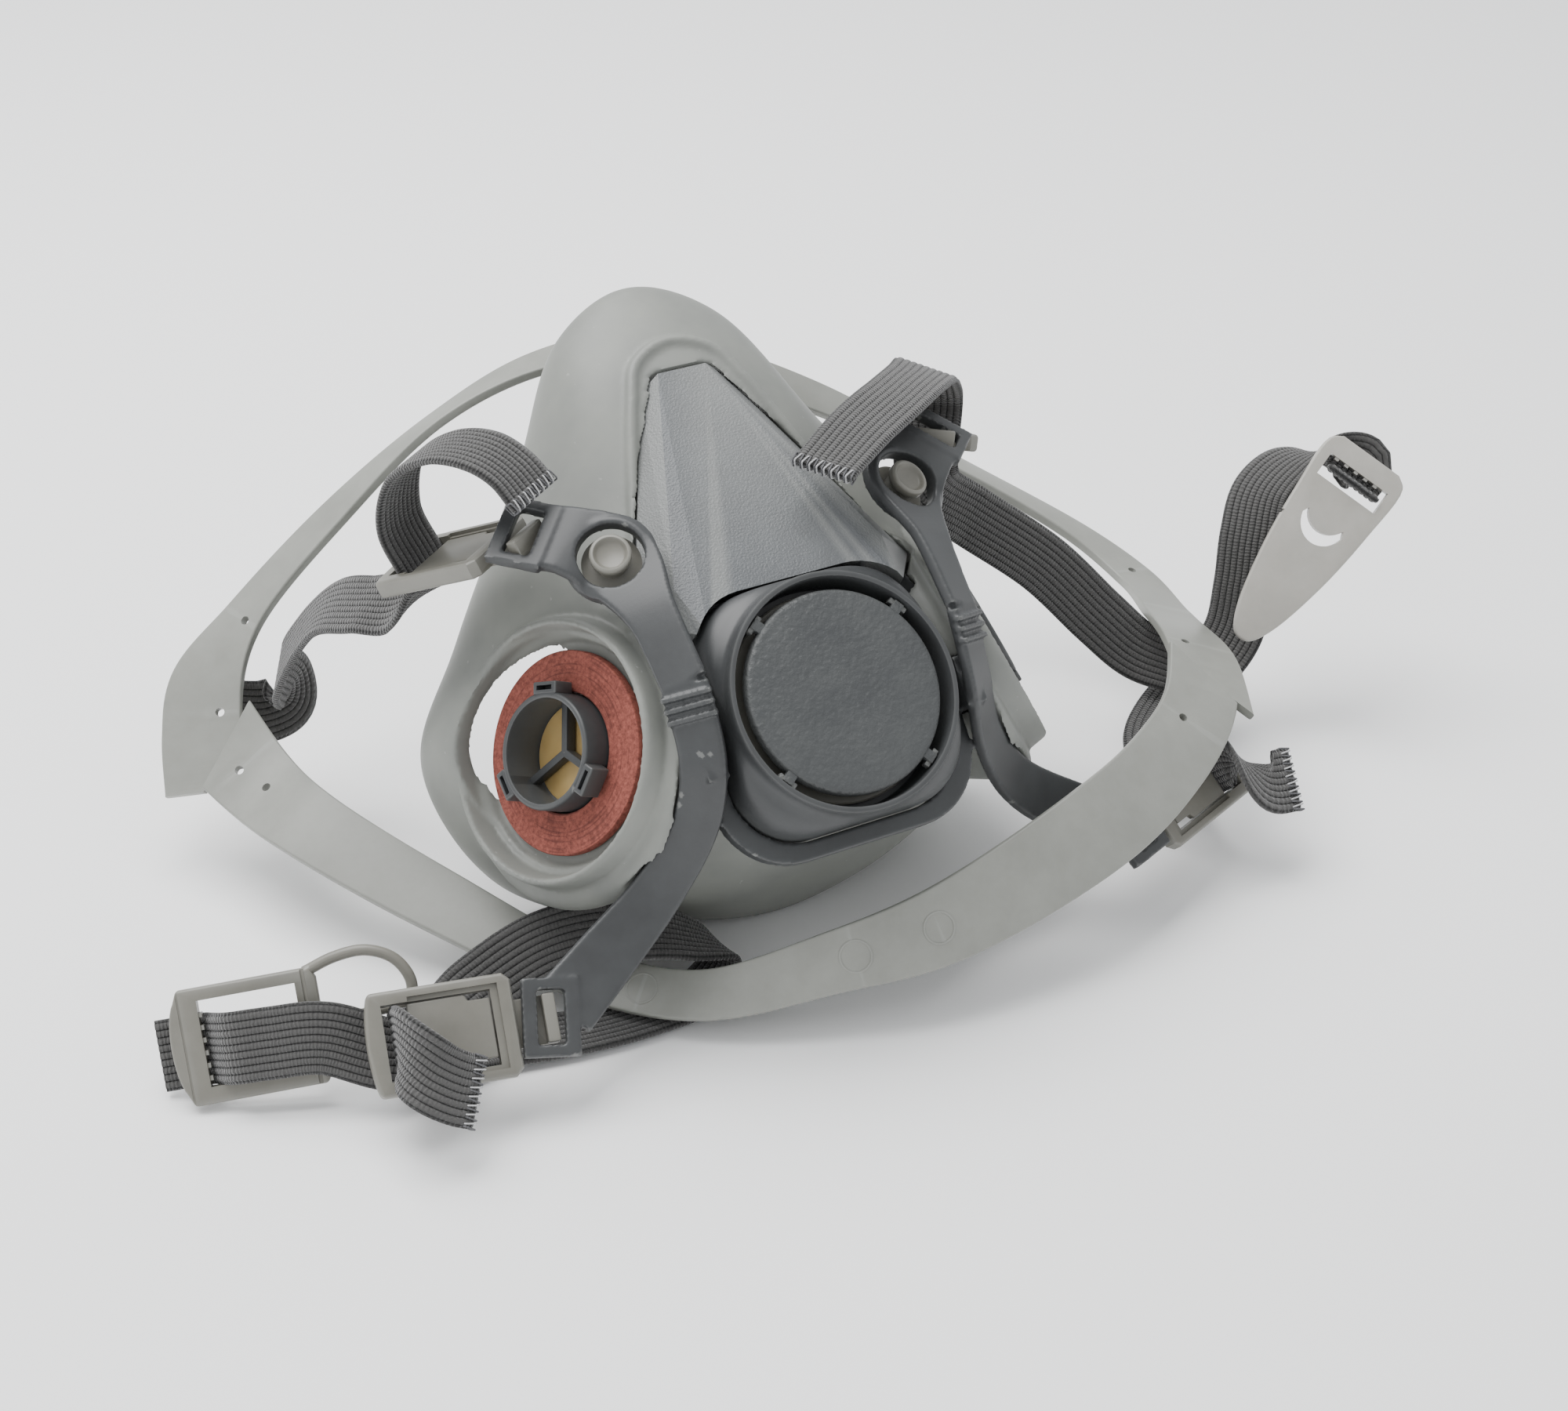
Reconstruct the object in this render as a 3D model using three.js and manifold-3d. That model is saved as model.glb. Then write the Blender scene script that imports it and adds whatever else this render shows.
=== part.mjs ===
// Elastomer half-mask respirator resting face down on a table, with its harness.
// Millimetres, +Z up. The mask is symmetric about x = 0 before the final shift;
// the chin points to -Y, the nose to +Y and the exhalation valve up and forward.
import * as THREE from "three";
import { mergeVertices } from "three/addons/utils/BufferGeometryUtils.js";
import { ConvexGeometry } from "three/addons/geometries/ConvexGeometry.js";
import Module from "manifold-3d";

const wasm = await Module();
wasm.setup();

// ---- driving dimensions ----------------------------------------------------
const GAP = 0.3;                      // clearance between neighbouring pieces
const SHELL = 3;                      // facepiece wall
const SEAL_TILT = 22.6;               // how far the seal plane leans back, degrees
const SEAL_CENTRE = [0, 74.5, 55.7];  // middle of the seal plane
const VALVE_TILT = 41;                // elevation of the exhalation axis, degrees
const VALVE_CENTRE = [0, 0, 67];      // middle of the exhalation cover's outer face
const COVER_R = 19.8;
const RIM_R = 23.6;
const RIM_WALL = 1.5;
const HOUSING_HALF = 24;
const HOUSING_DEPTH = 16;
const RECESS_DEPTH = 9;
const PORT_CENTRE = [48.5, 28.6, 52.4];
const PORT_AXIS = [0.86, -0.22, 0.46];
const PORT_LIP_R = 25.6;
const GASKET_R = 19.8;
const GASKET_T = 2;
const TUBE_R = 11.4;
const TUBE_WALL = 1.3;
const TUBE_OUT = 2;
const STRAP_W = 13.6;
const STRAP_T = 1.6;
const BAND_T = 2;
const BUCKLE = { length: 27, width: 19.4, thick: 3.6, wall: 2.6 };
const STRAP_GAP = 4.8;                // opening left for the strap beside the plate
const ORIGIN = [16.4, 50.5, 0];      // table point under the middle of the whole object

// ---- small geometry helpers --------------------------------------------------
const vec = (p) => new THREE.Vector3(p[0], p[1], p[2]);
const rad = THREE.MathUtils.degToRad;
const mirrored = (p) => [-p[0], ...p.slice(1)];

function signedVolume(geometry) {
  const [points, index] = [geometry.attributes.position, geometry.index];
  const corners = [0, 1, 2].map(() => new THREE.Vector3());
  let total = 0;
  for (let i = 0; i < index.count; i += 3) {
    corners.forEach((corner, k) => corner.fromBufferAttribute(points, index.getX(i + k)));
    total += corners[0].dot(corners[1].clone().cross(corners[2])) / 6;
  }
  return total;
}

// Welds a geometry into a solid whose faces point outwards.
function solid(geometry) {
  const bare = geometry.clone();
  bare.deleteAttribute("normal");
  bare.deleteAttribute("uv");
  const welded = mergeVertices(bare, 1e-4);
  const triVerts = new Uint32Array(welded.index.array);
  if (signedVolume(welded) < 0) triVerts.reverse();
  const vertProperties = new Float32Array(welded.attributes.position.array);
  return new wasm.Manifold(new wasm.Mesh({ numProp: 3, vertProperties, triVerts }));
}

function geometryOf(body) {
  const mesh = body.getMesh();
  const geometry = new THREE.BufferGeometry();
  geometry.setAttribute("position", new THREE.BufferAttribute(mesh.vertProperties, 3));
  geometry.setIndex(new THREE.BufferAttribute(mesh.triVerts, 1));
  return geometry;
}

// A frame whose Z runs along `axis` and whose X stays close to `towards`.
function basis(origin, axis, towards) {
  const z = vec(axis).normalize();
  const x = vec(towards);
  x.addScaledVector(z, -x.dot(z)).normalize();
  const y = new THREE.Vector3().crossVectors(z, x);
  return new THREE.Matrix4().makeBasis(x, y, z).setPosition(vec(origin));
}

function box(lo, hi) {
  const geometry = new THREE.BoxGeometry(hi[0] - lo[0], hi[1] - lo[1], hi[2] - lo[2]);
  geometry.translate((lo[0] + hi[0]) / 2, (lo[1] + hi[1]) / 2, (lo[2] + hi[2]) / 2);
  return solid(geometry);
}

function disc(radius, z0, z1, sides = 48) {
  const geometry = new THREE.CylinderGeometry(radius, radius, z1 - z0, sides);
  geometry.rotateX(Math.PI / 2);
  geometry.translate(0, 0, (z0 + z1) / 2);
  return solid(geometry);
}

// A closed profile of [radius, height] points turned about Z.
function turned(profile, sides = 48) {
  const points = [...profile, profile[0]].map(([r, z]) => new THREE.Vector2(r, z));
  const geometry = new THREE.LatheGeometry(points, sides);
  geometry.rotateX(Math.PI / 2);
  return solid(geometry);
}

function ring(outer, inner, z0, z1, sides = 48) {
  return disc(outer, z0, z1, sides).subtract(disc(inner, z0 - 1, z1 + 1, sides));
}

// Drops the crumbs that a cut can leave beside the main body.
function largest(body) {
  const pieces = body.decompose();
  return pieces.reduce((best, piece) => (piece.volume() > best.volume() ? piece : best));
}

function roundedSquare(half, corner, z0, z1) {
  const shape = new THREE.Shape();
  const flat = half - corner;
  for (let i = 0; i < 4; i++) {
    const start = (i * Math.PI) / 2;
    const [c, s] = [Math.round(Math.cos(start)), Math.round(Math.sin(start))];
    shape.absarc(flat * (c - s), flat * (s + c), corner, start, start + Math.PI / 2);
  }
  const geometry = new THREE.ExtrudeGeometry(shape, {
    depth: z1 - z0, bevelEnabled: false, curveSegments: 8,
  });
  geometry.translate(0, 0, z0);
  return solid(geometry);
}

// Joins equal-length point loops into one closed skin.
function skin(loops) {
  const count = loops[0].length;
  const positions = loops.flat().flatMap((p) => [p.x, p.y, p.z]);
  const index = [];
  for (let i = 0; i + 1 < loops.length; i++) {
    for (let j = 0; j < count; j++) {
      const [a, b] = [i * count + j, i * count + ((j + 1) % count)];
      index.push(a, b, b + count, a, b + count, a + count);
    }
  }
  const last = (loops.length - 1) * count;
  for (let j = 1; j + 1 < count; j++) {
    index.push(0, j + 1, j);
    index.push(last, last + j, last + j + 1);
  }
  const geometry = new THREE.BufferGeometry();
  geometry.setAttribute("position", new THREE.Float32BufferAttribute(positions, 3));
  geometry.setIndex(index);
  return geometry;
}

// A flat band swept along stations [x, y, z, nx, ny, nz, width], n being its face.
function band(stations, thick, steps) {
  const path = new THREE.CatmullRomCurve3(stations.map(vec), false, "centripetal");
  const spans = stations.length - 1;
  const loops = [];
  for (let i = 0; i <= steps; i++) {
    const t = i / steps;
    const k = Math.min(Math.floor(t * spans), spans - 1);
    const mix = t * spans - k;
    const blend = (j) => stations[k][j] * (1 - mix) + stations[k + 1][j] * mix;
    const along = path.getTangent(t);
    const face = new THREE.Vector3(blend(3), blend(4), blend(5));
    face.addScaledVector(along, -face.dot(along)).normalize();
    const side = new THREE.Vector3().crossVectors(face, along);
    const middle = path.getPoint(t);
    const half = blend(6) / 2;
    const corners = [[1, 1], [-1, 1], [-1, -1], [1, -1]];
    loops.push(corners.map(([s, f]) => middle.clone()
      .addScaledVector(side, s * half)
      .addScaledVector(face, (f * thick) / 2)));
  }
  return skin(loops);
}

// ---- mask coordinates: across, up the face, forward of the seal ---------------
const SEAL_FORWARD = [0, -Math.cos(rad(SEAL_TILT)), Math.sin(rad(SEAL_TILT))];
const SEAL_UP = [0, Math.sin(rad(SEAL_TILT)), Math.cos(rad(SEAL_TILT))];

function onMask(across, up, forward) {
  return vec(SEAL_CENTRE)
    .addScaledVector(vec(SEAL_UP), up)
    .addScaledVector(vec(SEAL_FORWARD), forward)
    .setX(across);
}

const VALVE_AXIS = [0, -Math.cos(rad(VALVE_TILT)), Math.sin(rad(VALVE_TILT))];
const valveFrame = basis(VALVE_CENTRE, VALVE_AXIS, [1, 0, 0]);
const portFrame = {
  left: basis(mirrored(PORT_CENTRE), mirrored(PORT_AXIS), [0, 0, 1]),
  right: basis(PORT_CENTRE, PORT_AXIS, [0, 0, 1]),
};
const placed = (body, matrix) => body.transform(matrix.elements);

// ---- facepiece ------------------------------------------------------------------
// Half outlines [across, up], nose to chin, each at a distance forward of the seal.
const OUTLINES = [
  { forward: 0, half: [[0, 58], [15, 51], [28, 28], [48, -2], [61, -24], [50, -52], [23, -59.5], [0, -60]] },
  { forward: 9, half: [[0, 60.5], [17, 53], [31, 30], [52, -2], [64, -24], [52, -53], [24, -62], [0, -63]] },
  { forward: 22, half: [[0, 50], [16, 46], [31, 26], [50, -3], [60, -24], [48, -54], [21, -66], [0, -70]] },
  { forward: 38, half: [[0, 27], [14, 23], [29, 11], [41, -6], [45, -24], [38, -49], [19, -61], [0, -62]] },
  { forward: 50, half: [[0, 10], [14, 7], [26, 0], [33, -10], [34, -24], [29, -42], [15, -52], [0, -54]] },
  { forward: 60, half: [[0, 0], [11, -2], [19, -6], [24, -14], [24, -26], [20, -36], [11, -43], [0, -45]] },
];

function outlineLoop({ forward, half }, inset) {
  const left = half.slice(1, -1).reverse().map(mirrored);
  const keys = [...half, ...left].map(([x, u]) => {
    const length = Math.hypot(x, u + 15);
    const keep = (length - inset) / length;
    return new THREE.Vector3(x * keep, -15 + (u + 15) * keep, 0);
  });
  const curve = new THREE.CatmullRomCurve3(keys, true, "centripetal");
  const count = keys.length * 3;
  const loop = [];
  for (let i = 0; i < count; i++) {
    const p = curve.getPoint(i / count);
    loop.push(onMask(p.x, p.y, forward));
  }
  return loop;
}

function cheekSkin(inset, setback) {
  const loops = OUTLINES.map(({ forward, half }) => {
    const depth = forward === 0 ? -setback : forward - (setback ? SHELL : 0);
    return outlineLoop({ forward: depth, half }, inset);
  });
  return solid(skin(loops));
}

function facepiece() {
  let body = cheekSkin(0, 0);
  for (const frame of Object.values(portFrame)) {
    const seat = turned([[0, -2], [PORT_LIP_R, -2], [PORT_LIP_R - 3, -14], [0, -20]]);
    body = body.add(placed(seat, frame));
  }
  body = body.subtract(cheekSkin(SHELL, 1));
  for (const frame of Object.values(portFrame)) {
    const dish = turned([[0, -6], [GASKET_R + 2, -6], [GASKET_R + 4, 1], [GASKET_R + 6, 9], [0, 9]]);
    const bore = disc(TUBE_R + GAP, -30, 0);
    const flangeRoom = disc(TUBE_R + 4 + GAP, -32, -12.1);
    body = [dish, bore, flangeRoom].reduce((left, cut) => left.subtract(placed(cut, frame)), body);
  }
  const housing = roundedSquare(HOUSING_HALF + GAP, 13, -HOUSING_DEPTH - GAP, 8);
  const airway = disc(16, -40, 0);
  body = body.subtract(placed(housing, valveFrame)).subtract(placed(airway, valveFrame));
  body = body.subtract(panelSolid(GAP));
  body = body.subtract(yokeRoom());
  const floor = box([-120, -80, -30], [120, 160, 0]);
  return largest(body.subtract(floor));
}

// ---- front panel over the nose ------------------------------------------------
const PANEL_TOP = [[5.3, 66, 106.5], [22.7, 26, 82], [21, 15, 77], [9.5, 66, 103], [30, 28, 75]];
const PANEL_DROP = [0, 1.2, -2.4];

function panelSolid(grow) {
  const both = [...PANEL_TOP, ...PANEL_TOP.map(mirrored)].map(vec);
  const middle = new THREE.Vector3(0, 38, 88);
  const points = [];
  for (const p of both) {
    points.push(p.clone(), p.clone().add(vec(PANEL_DROP)));
  }
  for (const p of points) {
    const out = p.clone().sub(middle).normalize();
    p.addScaledVector(out, grow * 1.6);
  }
  const hull = solid(new ConvexGeometry(points));
  const clear = roundedSquare(HOUSING_HALF + 2 * GAP - grow, 13, -HOUSING_DEPTH, 8);
  return hull.subtract(placed(clear, valveFrame));
}

// ---- exhalation valve housing, seat, flap and cover --------------------------------
function valveHousing() {
  return roundedSquare(HOUSING_HALF, 13, -HOUSING_DEPTH, -2.4)
    .add(disc(RIM_R, -4, 0, 64))
    .subtract(disc(RIM_R - RIM_WALL, -RECESS_DEPTH, 1, 64))
    .subtract(disc(15.5, -40, 1));
}

function spokes(count, reach, width, z0, z1) {
  let body = null;
  for (let i = 0; i < count; i++) {
    const arm = box([0, -width / 2, z0], [reach, width / 2, z1]).rotate([0, 0, (i * 360) / count]);
    body = body ? body.add(arm) : arm;
  }
  return body;
}

function valveSeat() {
  return ring(20.5, 13.5, -8.8, -7).add(spokes(6, 14.5, 1.6, -8.6, -7.2));
}

function exhalationValve() {
  return disc(16.5, -6.6, -5.8);
}

function exhalationCover() {
  const legs = spokes(4, RIM_R - RIM_WALL - GAP, 4, -2.6, -0.9).rotate([0, 0, 38]);
  return disc(COVER_R, -3.2, -0.4, 64).add(legs);
}

// ---- inhalation ports ------------------------------------------------------------
function inhalationPort() {
  const bore = TUBE_R - TUBE_WALL;
  let body = ring(TUBE_R, bore, -14, TUBE_OUT);
  body = body.add(ring(TUBE_R + 4, bore, -14, -12.4));
  for (let i = 0; i < 3; i++) {
    const lug = box([TUBE_R - 0.6, -3, TUBE_OUT - 4.8], [TUBE_R + 1.9, 3, TUBE_OUT]);
    const slot = box([TUBE_R + 0.3, -2, TUBE_OUT - 2.4], [TUBE_R + 1.2, 2, TUBE_OUT + 1]);
    body = body.add(lug.subtract(slot).rotate([0, 0, 26 + i * 120]));
  }
  return body.add(spokes(3, bore + 0.5, 2.2, -6, -3.6)).add(disc(3, -6, -3.6, 24));
}

function portGasket() {
  return ring(GASKET_R, TUBE_R + GAP, -GASKET_T - 3.6, -3.6, 48);
}

function inhalationValve() {
  return disc(TUBE_R - TUBE_WALL - GAP, -7.4, -6.4, 36);
}

// ---- harness yoke: a ring behind the housing with two arms on each side -----------
const YOKE_T = 2.4;
const UPPER_ARM = [
  [43.5, 42.5, 91, 0.25, -0.35, 0.9, 14], [38, 38.5, 90.4, 0.25, -0.4, 0.9, 15],
  [32, 33, 87.5, 0.3, -0.55, 0.8, 17], [30.5, 20, 82, 0.45, -0.5, 0.7, 10],
  [30, 8, 73, 0.55, -0.65, 0.5, 9],
];
const LOWER_ARM = [
  [30, 8, 73, 0.55, -0.65, 0.5, 9], [30, 1, 60, 0.6, -0.75, 0.3, 9],
  [32, 0, 48, 0.6, -0.8, 0.1, 9], [40, 1, 34, 0.5, -0.85, 0.2, 10],
  [53, -1, 23.5, 0.3, -0.8, 0.5, 12], [63, -4.6, 18.4, 0.15, -0.7, 0.7, 13],
];
const STUD_SPOT = [32, 33.6, 87.4];
const STUD_AXIS = [0.3, -0.55, 0.8];

function mirrorBody(body) {
  return body.mirror([1, 0, 0]);
}

const studFrame = basis(STUD_SPOT, STUD_AXIS, [1, 0, 0]);
const studFrames = {
  left: basis(mirrored(STUD_SPOT), mirrored(STUD_AXIS), [1, 0, 0]),
  right: studFrame,
};
const UPPER_END = { spot: [45, 43.8, 91.2], out: [0.45, 0.77, -0.42], face: [0.25, -0.35, 0.9] };
const LOWER_END = { spot: [65.6, -4.8, 17.7], out: [0.89, 0.38, 0], face: [0.15, -0.7, 0.7] };
const endFrame = ({ spot, out, face }) => basis(spot, face, out);

const wider = (stations, grow) => stations.map((s) => [...s.slice(0, 6), s[6] + 2 * grow]);

// One side of the yoke; `grow` swells it so that it can cut its own room.
function yokeSide(grow) {
  const thick = YOKE_T + 2 * grow;
  const seat = placed(disc(9 + grow, -thick / 2, thick / 2, 40), studFrame);
  const tie = box([26, -9 - grow, -HOUSING_DEPTH + 1 - grow], [30.4 + grow, 1 + grow, -4.6]);
  const plate = box([-5.4 - grow, -7.4 - grow, -thick / 2], [5.4 + grow, 7.4 + grow, thick / 2]);
  return solid(band(wider(UPPER_ARM, grow), thick, 24))
    .add(solid(band(wider(LOWER_ARM, grow), thick, 30)))
    .add(placed(plate, endFrame(UPPER_END)))
    .add(placed(plate, endFrame(LOWER_END)))
    .add(seat)
    .add(placed(tie, valveFrame));
}

function yokeRing(grow) {
  const half = HOUSING_HALF + 4 + grow;
  const body = roundedSquare(half, 15, -HOUSING_DEPTH + 1 - grow, -HOUSING_DEPTH + 4 + grow);
  return placed(body, valveFrame);
}

function yokeRoom() {
  const side = yokeSide(GAP);
  return yokeRing(GAP).add(side).add(mirrorBody(side));
}

function harnessYoke() {
  let side = yokeSide(0).subtract(placed(disc(6.5, -6, 6, 40), studFrame));
  for (const end of [UPPER_END, LOWER_END]) {
    side = side.subtract(placed(box([-2.6, -5.2, -5], [2.6, 5.2, 5]), endFrame(end)));
  }
  for (const name of ["upper_right", "lower_right"]) {
    side = side.subtract(placed(box([-1.6, -5, -3.6], [8, 5, -1.5]), buckleMatrix(name)));
  }
  const middle = placed(roundedSquare(HOUSING_HALF + GAP, 13, -HOUSING_DEPTH, 9), valveFrame);
  const body = yokeRing(0).add(side).add(mirrorBody(side));
  return largest(body.subtract(middle).subtract(panelSolid(GAP)));
}

function stud() {
  const profile = [[0, -3.4], [5.8, -3.4], [5.8, -2.2], [3, -1.8], [3, 0.2], [4, 1], [4, 2.2],
    [3.2, 2.8], [2, 2.2], [0, 2]];
  return turned(profile, 32);
}

// ---- buckles ----------------------------------------------------------------------
// Buckle frame: X away from the arm, Z out of its face, the arm's slot at the origin.
const BUCKLE_START = 6.4;
const BUCKLE_TOP = 0.6;
const BUCKLES = {
  upper_left: { spot: [-45, 43.8, 91.2], out: [-0.45, 0.77, -0.42], face: [-0.3, 0.32, 0.9] },
  upper_right: { spot: [45, 43.8, 91.2], out: [0.45, 0.77, -0.42], face: [0.3, 0.32, 0.9] },
  lower_left: { spot: [-65.6, -4.8, 17.7], out: [-0.9, 0.28, -0.06], face: [-0.15, -0.7, 0.7] },
  lower_right: { spot: [65.6, -4.8, 17.7], out: [0.89, 0.38, 0], face: [0.15, -0.7, 0.7] },
};

function buckleMatrix(name) {
  return endFrame(BUCKLES[name]);
}

function buckleFrame() {
  const { length, width, thick, wall } = BUCKLE;
  const x0 = BUCKLE_START;
  const low = BUCKLE_TOP - thick;
  const half = width / 2;
  let body = box([x0, -half, low], [x0 + length, half, BUCKLE_TOP]);
  body = body.subtract(box([x0 + 4, -half + wall, low - 1], [x0 + length - wall, half - wall, 1]));
  body = body.add(box([-1.2, -4.6, -3.2], [x0 + 1, 4.6, -1.8]));
  return body.add(box([-1.2, -4.6, -3.2], [1.2, 4.6, 0.8]));
}

function bucklePlate() {
  const { length, width, wall } = BUCKLE;
  const half = width / 2 - wall - GAP;
  const x0 = BUCKLE_START + 4 + GAP;
  const reach = BUCKLE_START + length - wall - STRAP_GAP;
  const plate = box([x0 + 4, -half, -1.8], [reach, half, -0.2]);
  const neck = box([x0, -half + 1.2, -1.8], [x0 + 5, half - 1.2, -0.2]);
  return plate.add(neck);
}

// ---- straps, cradle and neck clips ------------------------------------------------
const SLIT = BUCKLE_START + BUCKLE.length - BUCKLE.wall - STRAP_GAP / 2;

// Strap stations written in a piece's own frame, moved to where that piece sits.
function moved(matrix, stations) {
  return stations.map((s) => {
    const spot = vec(s).applyMatrix4(matrix);
    const face = vec(s.slice(3)).transformDirection(matrix);
    return [spot.x, spot.y, spot.z, face.x, face.y, face.z, STRAP_W];
  });
}

const atBuckle = (name, stations) => moved(buckleMatrix(name), stations);

const inAir = (stations) => stations.map((s) => [...s, STRAP_W]);

// The looped clip of the left neck strap and the tongued clip of the right one.
const CLIP_LEFT = basis([-114.5, 24, 11.9], [-0.35, -0.78, 0.5], [0.9, -0.4, 0.15]);
const CLIP_RIGHT = basis([151.5, 38.5, 54.5], [-0.4, -0.75, 0.5], [-0.75, -0.15, -0.65]);

const STRAPS = {
  upper_left: [
    ...atBuckle("upper_left", [
      [-4, -3, 6, 0.4, 0, -1], [-2, -3, 12, 0.7, 0, -0.9], [2, -2.5, 17, 0.6, 0, -0.8],
      [10, -2, 20, 0, 0, -1], [21, -1, 18, -0.5, 0, -0.8], [28, 0, 9, -1, 0, -0.2],
      [SLIT, 0, 0, -1, 0, 0], [SLIT, 0, -5, -1, 0, 0],
    ]),
    ...inAir([
      [-61, 70, 68, 0.7, -0.7, 0.1], [-66, 78, 65, 0.7, -0.5, -0.4],
      [-70, 87, 61, 0.7, -0.4, -0.5], [-74, 97, 50, 0.8, -0.35, -0.45],
      [-76, 105, 38, 0.9, -0.4, -0.3], [-72, 111, 31, 0.5, -0.8, 0],
      [-73, 112, 26.5, 0.2, -0.95, 0.25], [-78, 112.5, 25, 0, -0.9, 0.4],
      [-84, 113.5, 26, -0.1, -0.85, 0.5],
    ]),
  ],
  upper_right: [
    ...inAir([
      [11, 29, 97.5, 0.3, 0.2, -0.9], [24, 36, 101, 0.1, 0.2, -0.9], [36, 43, 102, 0.1, 0.2, -0.9],
      [46.5, 51.5, 100.5, -0.4, -0.2, -0.9], [54, 60.5, 96, -0.7, -0.5, -0.6],
    ]),
    ...atBuckle("upper_right", [
      [30, 0, 6, -1, 0, -0.2], [SLIT, 0, 0, -1, 0, 0], [SLIT, 0, -5, -1, 0, 0],
    ]),
    ...inAir([
      [57.5, 63, 67, -0.4, -0.75, 0.4], [68, 63, 57.5, -0.4, -0.75, 0.5], [84, 58, 44, -0.4, -0.75, 0.5],
      [96, 52, 30, -0.4, -0.75, 0.5], [103, 47, 22.5, -0.3, -0.75, 0.6], [109, 42, 19.5, -0.2, -0.6, 0.8],
    ]),
  ],
  lower_left: [
    ...atBuckle("lower_left", [
      [16.5, 12, 6.6, -0.1, 0.1, 1], [20, 10.8, 8, 0, 0.1, 1], [24, 8.2, 8.8, 0.2, 0, 1],
      [27, 4.4, 7.8, 0.7, 0, 0.7], [28.3, 1.2, 4.4, 1, 0, 0.3], [SLIT, 0, 0, 1, 0, 0],
      [SLIT, 0, -5, 1, 0, 0],
    ]),
    ...inAir([
      [-81, 15, 8, -0.4, 0, 1], [-70, 19.5, 10, -0.1, -0.6, 0.8], [-56, 19.4, 15.2, -0.1, -0.7, 0.7],
      [-43, 16.6, 16.2, 0.1, -0.6, 0.8], [-30, 12.4, 13, 0.5, -0.3, 0.8], [-21.5, 10, 7.2, 1, 0, 0],
      [-27, 8, 1.8, 0.4, 0, -0.9], [-40, 6.5, 1.5, 0, 0, -1], [-57, 8, 1.7, 0, 0, -1],
      [-73, 11, 4.2, 0, 0.3, -1], [-91, 8.8, 9, 0.1, 0.6, -0.7],
    ]),
    ...moved(CLIP_LEFT, [
      [14, -2, 5.8, 0, 0, -1], [4, -1.2, 5.2, 0, 0, -1], [-3, -1, 4.2, 0.3, 0, -1],
      [-6.4, -1, 0, 1, 0, -0.2], [-8.4, -1, -3, 0.6, 0, -0.8], [-17.5, -1, -4, 0, 0, -1],
    ]),
  ],
  lower_right: [
    ...inAir([[103.5, -9, 19.6, 0.35, -0.7, 0.6], [98, -7.8, 20, 0.35, -0.7, 0.6]]),
    ...atBuckle("lower_right", [
      [SLIT + 0.6, -1.6, 5, 0.8, 0, 0.6], [SLIT, -0.2, 2.6, 1, 0, 0.1], [SLIT, 0, 0, 1, 0, 0],
      [SLIT, 0, -5, 1, 0, 0],
    ]),
    ...inAir([
      [90, 16, 11, 0.2, -0.3, 0.9], [95, 28, 11, 0, -0.2, 1], [107, 38, 12, -0.1, -0.2, 1],
      [119, 42, 15, -0.5, -0.4, 0.8], [127, 43.5, 22, -0.7, -0.6, 0.3], [130, 45, 33, -0.7, -0.6, 0.2],
      [133, 48, 43.5, -0.6, -0.6, 0.4], [138, 51.4, 52, -0.5, -0.3, 0.8], [147, 52.5, 56.5, 0, 0, 1],
      [154, 50, 57.5, 0.5, 0.4, 0.6],
    ]),
    ...moved(CLIP_RIGHT, [
      [-7, 0, -4.2, -0.2, 0, -1], [-3, 0, -2.6, 0.5, 0, -0.9], [-1.5, 0, 0, 1, 0, -0.2],
      [-1.5, 0, 2.4, 1, 0, 0],
    ]),
  ],
};

function slab(points, depth) {
  const shape = new THREE.Shape(points.map(([x, y]) => new THREE.Vector2(x, y)));
  const geometry = new THREE.ExtrudeGeometry(shape, { depth, bevelEnabled: false });
  geometry.translate(0, 0, -depth / 2);
  return solid(geometry);
}

function outline(points, holes, depth) {
  return holes.reduce((body, hole) => body.subtract(slab(hole, depth + 2)), slab(points, depth));
}

function neckClipLeft() {
  const plate = outline(
    [[-14, -7], [-12, -11], [13, -11], [14, -9], [14, 9], [12, 11], [-12, 11], [-14, 7]],
    [[[-8.5, -7.8], [-8.5, 8.6], [10, 8.6], [10, -7.8]]], 2.4);
  const loop = outline(
    [[12.5, 10.8], [22, 13.5], [29, 11], [32, 4], [31, 0.5], [12.5, -1]],
    [[[14.5, 8.8], [22, 11.2], [27.4, 9.4], [29.8, 4], [29.4, 2.4], [14.5, 1]]], 2.2);
  return plate.add(loop);
}

function neckClipRight() {
  return outline(
    [[-9, -8], [-7, -10], [6, -9.8], [22, -8], [36, -4.6], [41, -1.5], [41, 1.5], [36, 4.6], [22, 8],
      [6, 9.8], [-7, 10], [-9, 8]],
    [[[-4.2, -7.8], [-4.2, 7.8], [1.2, 7.8], [1.2, -7.8]],
      [[8, -5], [11.5, -2], [11.5, 2], [8, 5], [13, 5], [15.4, 2.2], [15.4, -2.2], [13, -5]]], 2.2);
}

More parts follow.
